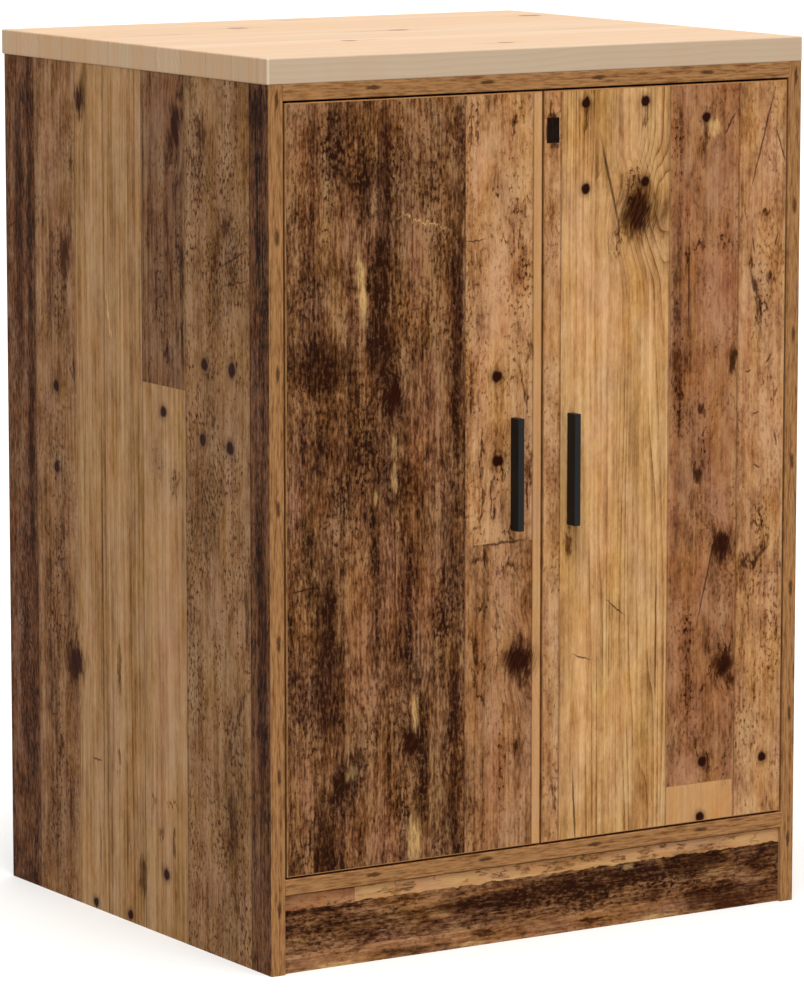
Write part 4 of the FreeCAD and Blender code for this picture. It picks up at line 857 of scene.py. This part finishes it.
def print_boards(context, *rows):
    """Paper foil with an old-plank print on chipboard: matt, with only the faint relief of pressed pores."""
    look = context.scene.cabinet_look
    for name, table, node in rows:
        gloss = {"Specular IOR Level": FOIL_GLOSS}
        made = material(f"old_plank_foil_{name}", lambda tree: plank_print(tree, table, look), FOIL_RELIEF, **gloss)
        paint(made, node)
    return {"FINISHED"}


HINGES = [f"{side}_{level}_hinge" for side in ("left", "right") for level in ("lower", "upper")]


class CABINET_OT_doors(bpy.types.Operator):
    """Prints the old planks on both doors."""

    bl_idname = "cabinet.doors"
    bl_label = "Print the doors"

    def execute(self, context):
        left = ("left_door", LEFT_DOOR, "left_door_board")
        return print_boards(context, left, ("right_door", RIGHT_DOOR, "right_door_board"))


class CABINET_OT_carcass(bpy.types.Operator):
    """Prints the old planks on the sides, the lying boards and the plinth."""

    bl_idname = "cabinet.carcass"
    bl_label = "Print the carcass"

    def execute(self, context):
        sides = ("left_side", LEFT_SIDE, "left_side_board"), ("right_side", RIGHT_SIDE, "right_side_board")
        lying = ("top", TOP_BOARD, "top_board"), ("bottom", BOTTOM_BOARD, "bottom_board"), ("shelf", SHELF, "shelf")
        return print_boards(context, *sides, *lying, ("plinth", PLINTH, "plinth"))


class CABINET_OT_edge_bands(bpy.types.Operator):
    """Prints the grain on every edge band, along its length."""

    bl_idname = "cabinet.edge_bands"
    bl_label = "Print the edge bands"

    def execute(self, context):
        look = context.scene.cabinet_look
        rows = (
            ("left_side", "Z", "X", LEFT_SIDE, ("left_side_edge_band",)),
            ("right_side", "Z", "X", RIGHT_SIDE, ("right_side_edge_band",)),
            ("top", "X", "Z", TOP_BOARD, ("top_edge_band",)),
            ("bottom", "X", "Z", BOTTOM_BOARD, ("bottom_edge_band",)),
            ("shelf", "X", "Z", SHELF, ("shelf_edge_band",)),
            ("doors", "Z", "Y", LEFT_DOOR, ("left_door_edge_bands", "right_door_edge_bands")),
        )
        for name, along, across, table, nodes in rows:
            made = material(
                f"printed_edge_band_{name}",
                lambda tree: band_print(tree, look, along, across, table.middle),
                BAND_RELIEF,
                **{"Specular IOR Level": BAND_GLOSS},
            )
            paint(made, *nodes)
        return {"FINISHED"}


class CABINET_OT_worktop(bpy.types.Operator):
    """Gives the worktop its pine."""

    bl_idname = "cabinet.worktop"
    bl_label = "Grain the worktop"

    def execute(self, context):
        look, gloss = context.scene.cabinet_look, {"Specular IOR Level": PINE_GLOSS}
        paint(material("sanded_glued_pine", lambda tree: pine_wood(tree, look), PINE_RELIEF, **gloss), "worktop")
        return {"FINISHED"}


class CABINET_OT_back(bpy.types.Operator):
    """Gives the back its pressed hardboard."""

    bl_idname = "cabinet.back"
    bl_label = "Dress the back"

    def execute(self, context):
        paint(made_surface("pressed_hardboard", context.scene.cabinet_look.finishes.hardboard), "back_board")
        return {"FINISHED"}


class CABINET_OT_handles(bpy.types.Operator):
    """Coats the bar handles."""

    bl_idname = "cabinet.handles"
    bl_label = "Coat the handles"

    def execute(self, context):
        made = made_surface("black_powder_coat", context.scene.cabinet_look.finishes.handle)
        paint(made, "left_handle", "right_handle")
        return {"FINISHED"}


class CABINET_OT_fittings(bpy.types.Operator):
    """Plates the hinges, screws, nails and pins, and casts the cam locks."""

    bl_idname = "cabinet.fittings"
    bl_label = "Finish the fittings"

    def execute(self, context):
        finishes = context.scene.cabinet_look.finishes
        nickel = made_surface("nickel_plated_steel", finishes.nickel)
        zinc = made_surface("cast_zinc_alloy", finishes.zinc)
        beech = made_surface("turned_beech", finishes.beech)
        paint(nickel, *(f"{hinge}_{part}" for hinge in HINGES for part in ("cup", "pin", "arm")))
        paint(nickel, "left_hinge_cup_screws", "right_hinge_cup_screws", "hinge_plate_screws", "hinge_arm_screws")
        paint(nickel, "left_handle_screws", "right_handle_screws", "cam_bolts", "worktop_screws", "back_board_nails")
        paint(nickel, "shelf_pins")
        paint(zinc, "cam_locks", *(f"{hinge}_plate" for hinge in HINGES))
        paint(beech, "wood_dowels")
        return {"FINISHED"}


class CABINET_OT_catch(bpy.types.Operator):
    """Finishes the magnetic catch and its strikes."""

    bl_idname = "cabinet.catch"
    bl_label = "Finish the catch"

    def execute(self, context):
        finishes = context.scene.cabinet_look.finishes
        plastic = made_surface("moulded_brown_abs", finishes.plastic)
        magnet = made_surface("sintered_ferrite", finishes.magnet)
        strike = made_surface("zinc_plated_steel", finishes.nickel)
        paint(plastic, "catch_housing")
        paint(magnet, "catch_magnets")
        paint(strike, "left_strike", "right_strike", "left_strike_screw", "right_strike_screw", "catch_screws")
        return {"FINISHED"}


# The photograph's camera: where it stands in metres, where it looks in radians and how long its lens is in mm
CAMERA_PLACE = (-2.7507, -4.3499, 1.173)
CAMERA_YAW = 0.564
CAMERA_PITCH = 0.1503
CAMERA_LENS = 191.3
SENSOR = 36.0
CLIP_END = 100.0

# Studio light: even light all round, a soft key from above the front left and a weak fill from behind
WORLD_LIGHT = 0.6
KEY_FROM = (-0.15, -0.34, 0.93)
KEY_STRENGTH = 2.6
FILL_FROM = (0.55, 0.62, 0.56)
FILL_STRENGTH = 0.55
LAMP_ANGLE = 50.0
FLOOR_BOUNCE = "#a8a8a6"


def seen_by_camera(tree):
    """1 for rays that come from the camera, straight, by a reflection or through glass, and 0 for others."""
    path = add(tree, "LightPath", {}).node.outputs
    seen = path["Is Camera Ray"]
    for name in ("Is Glossy Ray", "Is Transmission Ray"):
        seen = add(tree, "Math MAXIMUM", [seen, path[name]])
    return seen


class CABINET_OT_stage(bpy.types.Operator):
    """Sets the floor, the light and the camera."""

    bl_idname = "cabinet.stage"
    bl_label = "Set the stage"

    def execute(self, context):
        look, scene = context.scene.cabinet_look, context.scene
        mesh = bpy.data.meshes.new("studio_floor")
        build = bmesh.new()
        bmesh.ops.create_grid(build, x_segments=1, y_segments=1, size=look.sizes.floor_side / 2)
        build.to_mesh(mesh)
        build.free()
        floor = bpy.data.objects.new("studio_floor", mesh)
        scene.collection.objects.link(floor)

        # Matt painted floor: pale to the camera, and a plain grey for the light that it sends back up
        made = bpy.data.materials.new("matt_floor_paint")
        tree = empty_tree(made)
        colour = lay(tree, rgba(linear(FLOOR_BOUNCE)), (seen_by_camera(tree), 1.0, rgba(look.finishes.floor)))
        shader = add(tree, "BsdfDiffuse", {"Color": colour})
        add(tree, "OutputMaterial", {"Surface": shader})
        mesh.materials.append(made)

        # White to the camera, and dimmer as a light
        world = bpy.data.worlds.new("studio")
        tree = empty_tree(world)
        strength = add(tree, "MapRange", {"Value": seen_by_camera(tree), "To Min": WORLD_LIGHT, "To Max": 1.0})
        sky = add(tree, "Background", {"Color": (1.0, 1.0, 1.0, 1.0), "Strength": strength})
        add(tree, "OutputWorld", {"Surface": sky})
        scene.world = world

        for name, source, strength in (("key", KEY_FROM, KEY_STRENGTH), ("fill", FILL_FROM, FILL_STRENGTH)):
            lamp = bpy.data.lights.new(name, "SUN")
            lamp.energy = strength
            lamp.angle = math.radians(LAMP_ANGLE)
            held = bpy.data.objects.new(name, lamp)
            held.rotation_euler = Vector(source).to_track_quat("Z", "Y").to_euler()
            scene.collection.objects.link(held)

        lens = bpy.data.cameras.new("photo_camera")
        lens.sensor_width = SENSOR
        lens.sensor_fit = "AUTO"
        lens.lens = CAMERA_LENS
        lens.clip_end = CLIP_END
        camera = bpy.data.objects.new("photo_camera", lens)
        flat = math.cos(CAMERA_PITCH)
        forward = Vector((math.sin(CAMERA_YAW) * flat, math.cos(CAMERA_YAW) * flat, -math.sin(CAMERA_PITCH)))
        camera.location = CAMERA_PLACE
        camera.rotation_euler = forward.to_track_quat("-Z", "Y").to_euler()
        scene.collection.objects.link(camera)
        scene.camera = camera
        scene.view_settings.view_transform = "Standard"
        return {"FINISHED"}



OPERATORS = (
    CABINET_OT_doors,
    CABINET_OT_carcass,
    CABINET_OT_edge_bands,
    CABINET_OT_worktop,
    CABINET_OT_back,
    CABINET_OT_handles,
    CABINET_OT_fittings,
    CABINET_OT_catch,
    CABINET_OT_stage,
)


class CABINET_PT_look(bpy.types.Panel):
    """Lists the cabinet's finishes and what can be changed."""

    bl_idname = "CABINET_PT_look"
    bl_label = "Storage cabinet"
    bl_space_type = "VIEW_3D"
    bl_region_type = "UI"
    bl_category = "Cabinet"

    def draw(self, context):
        look = context.scene.cabinet_look
        for operator in OPERATORS:
            self.layout.operator(operator.bl_idname)
        for group in (look.planks, look.finishes, look.sizes):
            for name in group.__annotations__:
                self.layout.prop(group, name)


CLASSES = (PlankColours, FinishColours, FinishSizes, CabinetLook, *OPERATORS, CABINET_PT_look)


def register():
    """Makes the cabinet's settings, operators and panel known to Blender."""
    for each in CLASSES:
        bpy.utils.register_class(each)
    bpy.types.Scene.cabinet_look = PointerProperty(type=CabinetLook)


def unregister():
    """Takes them away again."""
    del bpy.types.Scene.cabinet_look
    for each in reversed(CLASSES):
        bpy.utils.unregister_class(each)


def main():
    """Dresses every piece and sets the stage."""
    register()
    for operator in OPERATORS:
        group, name = operator.bl_idname.split(".")
        getattr(getattr(bpy.ops, group), name)()


if __name__ == "__main__":
    main()
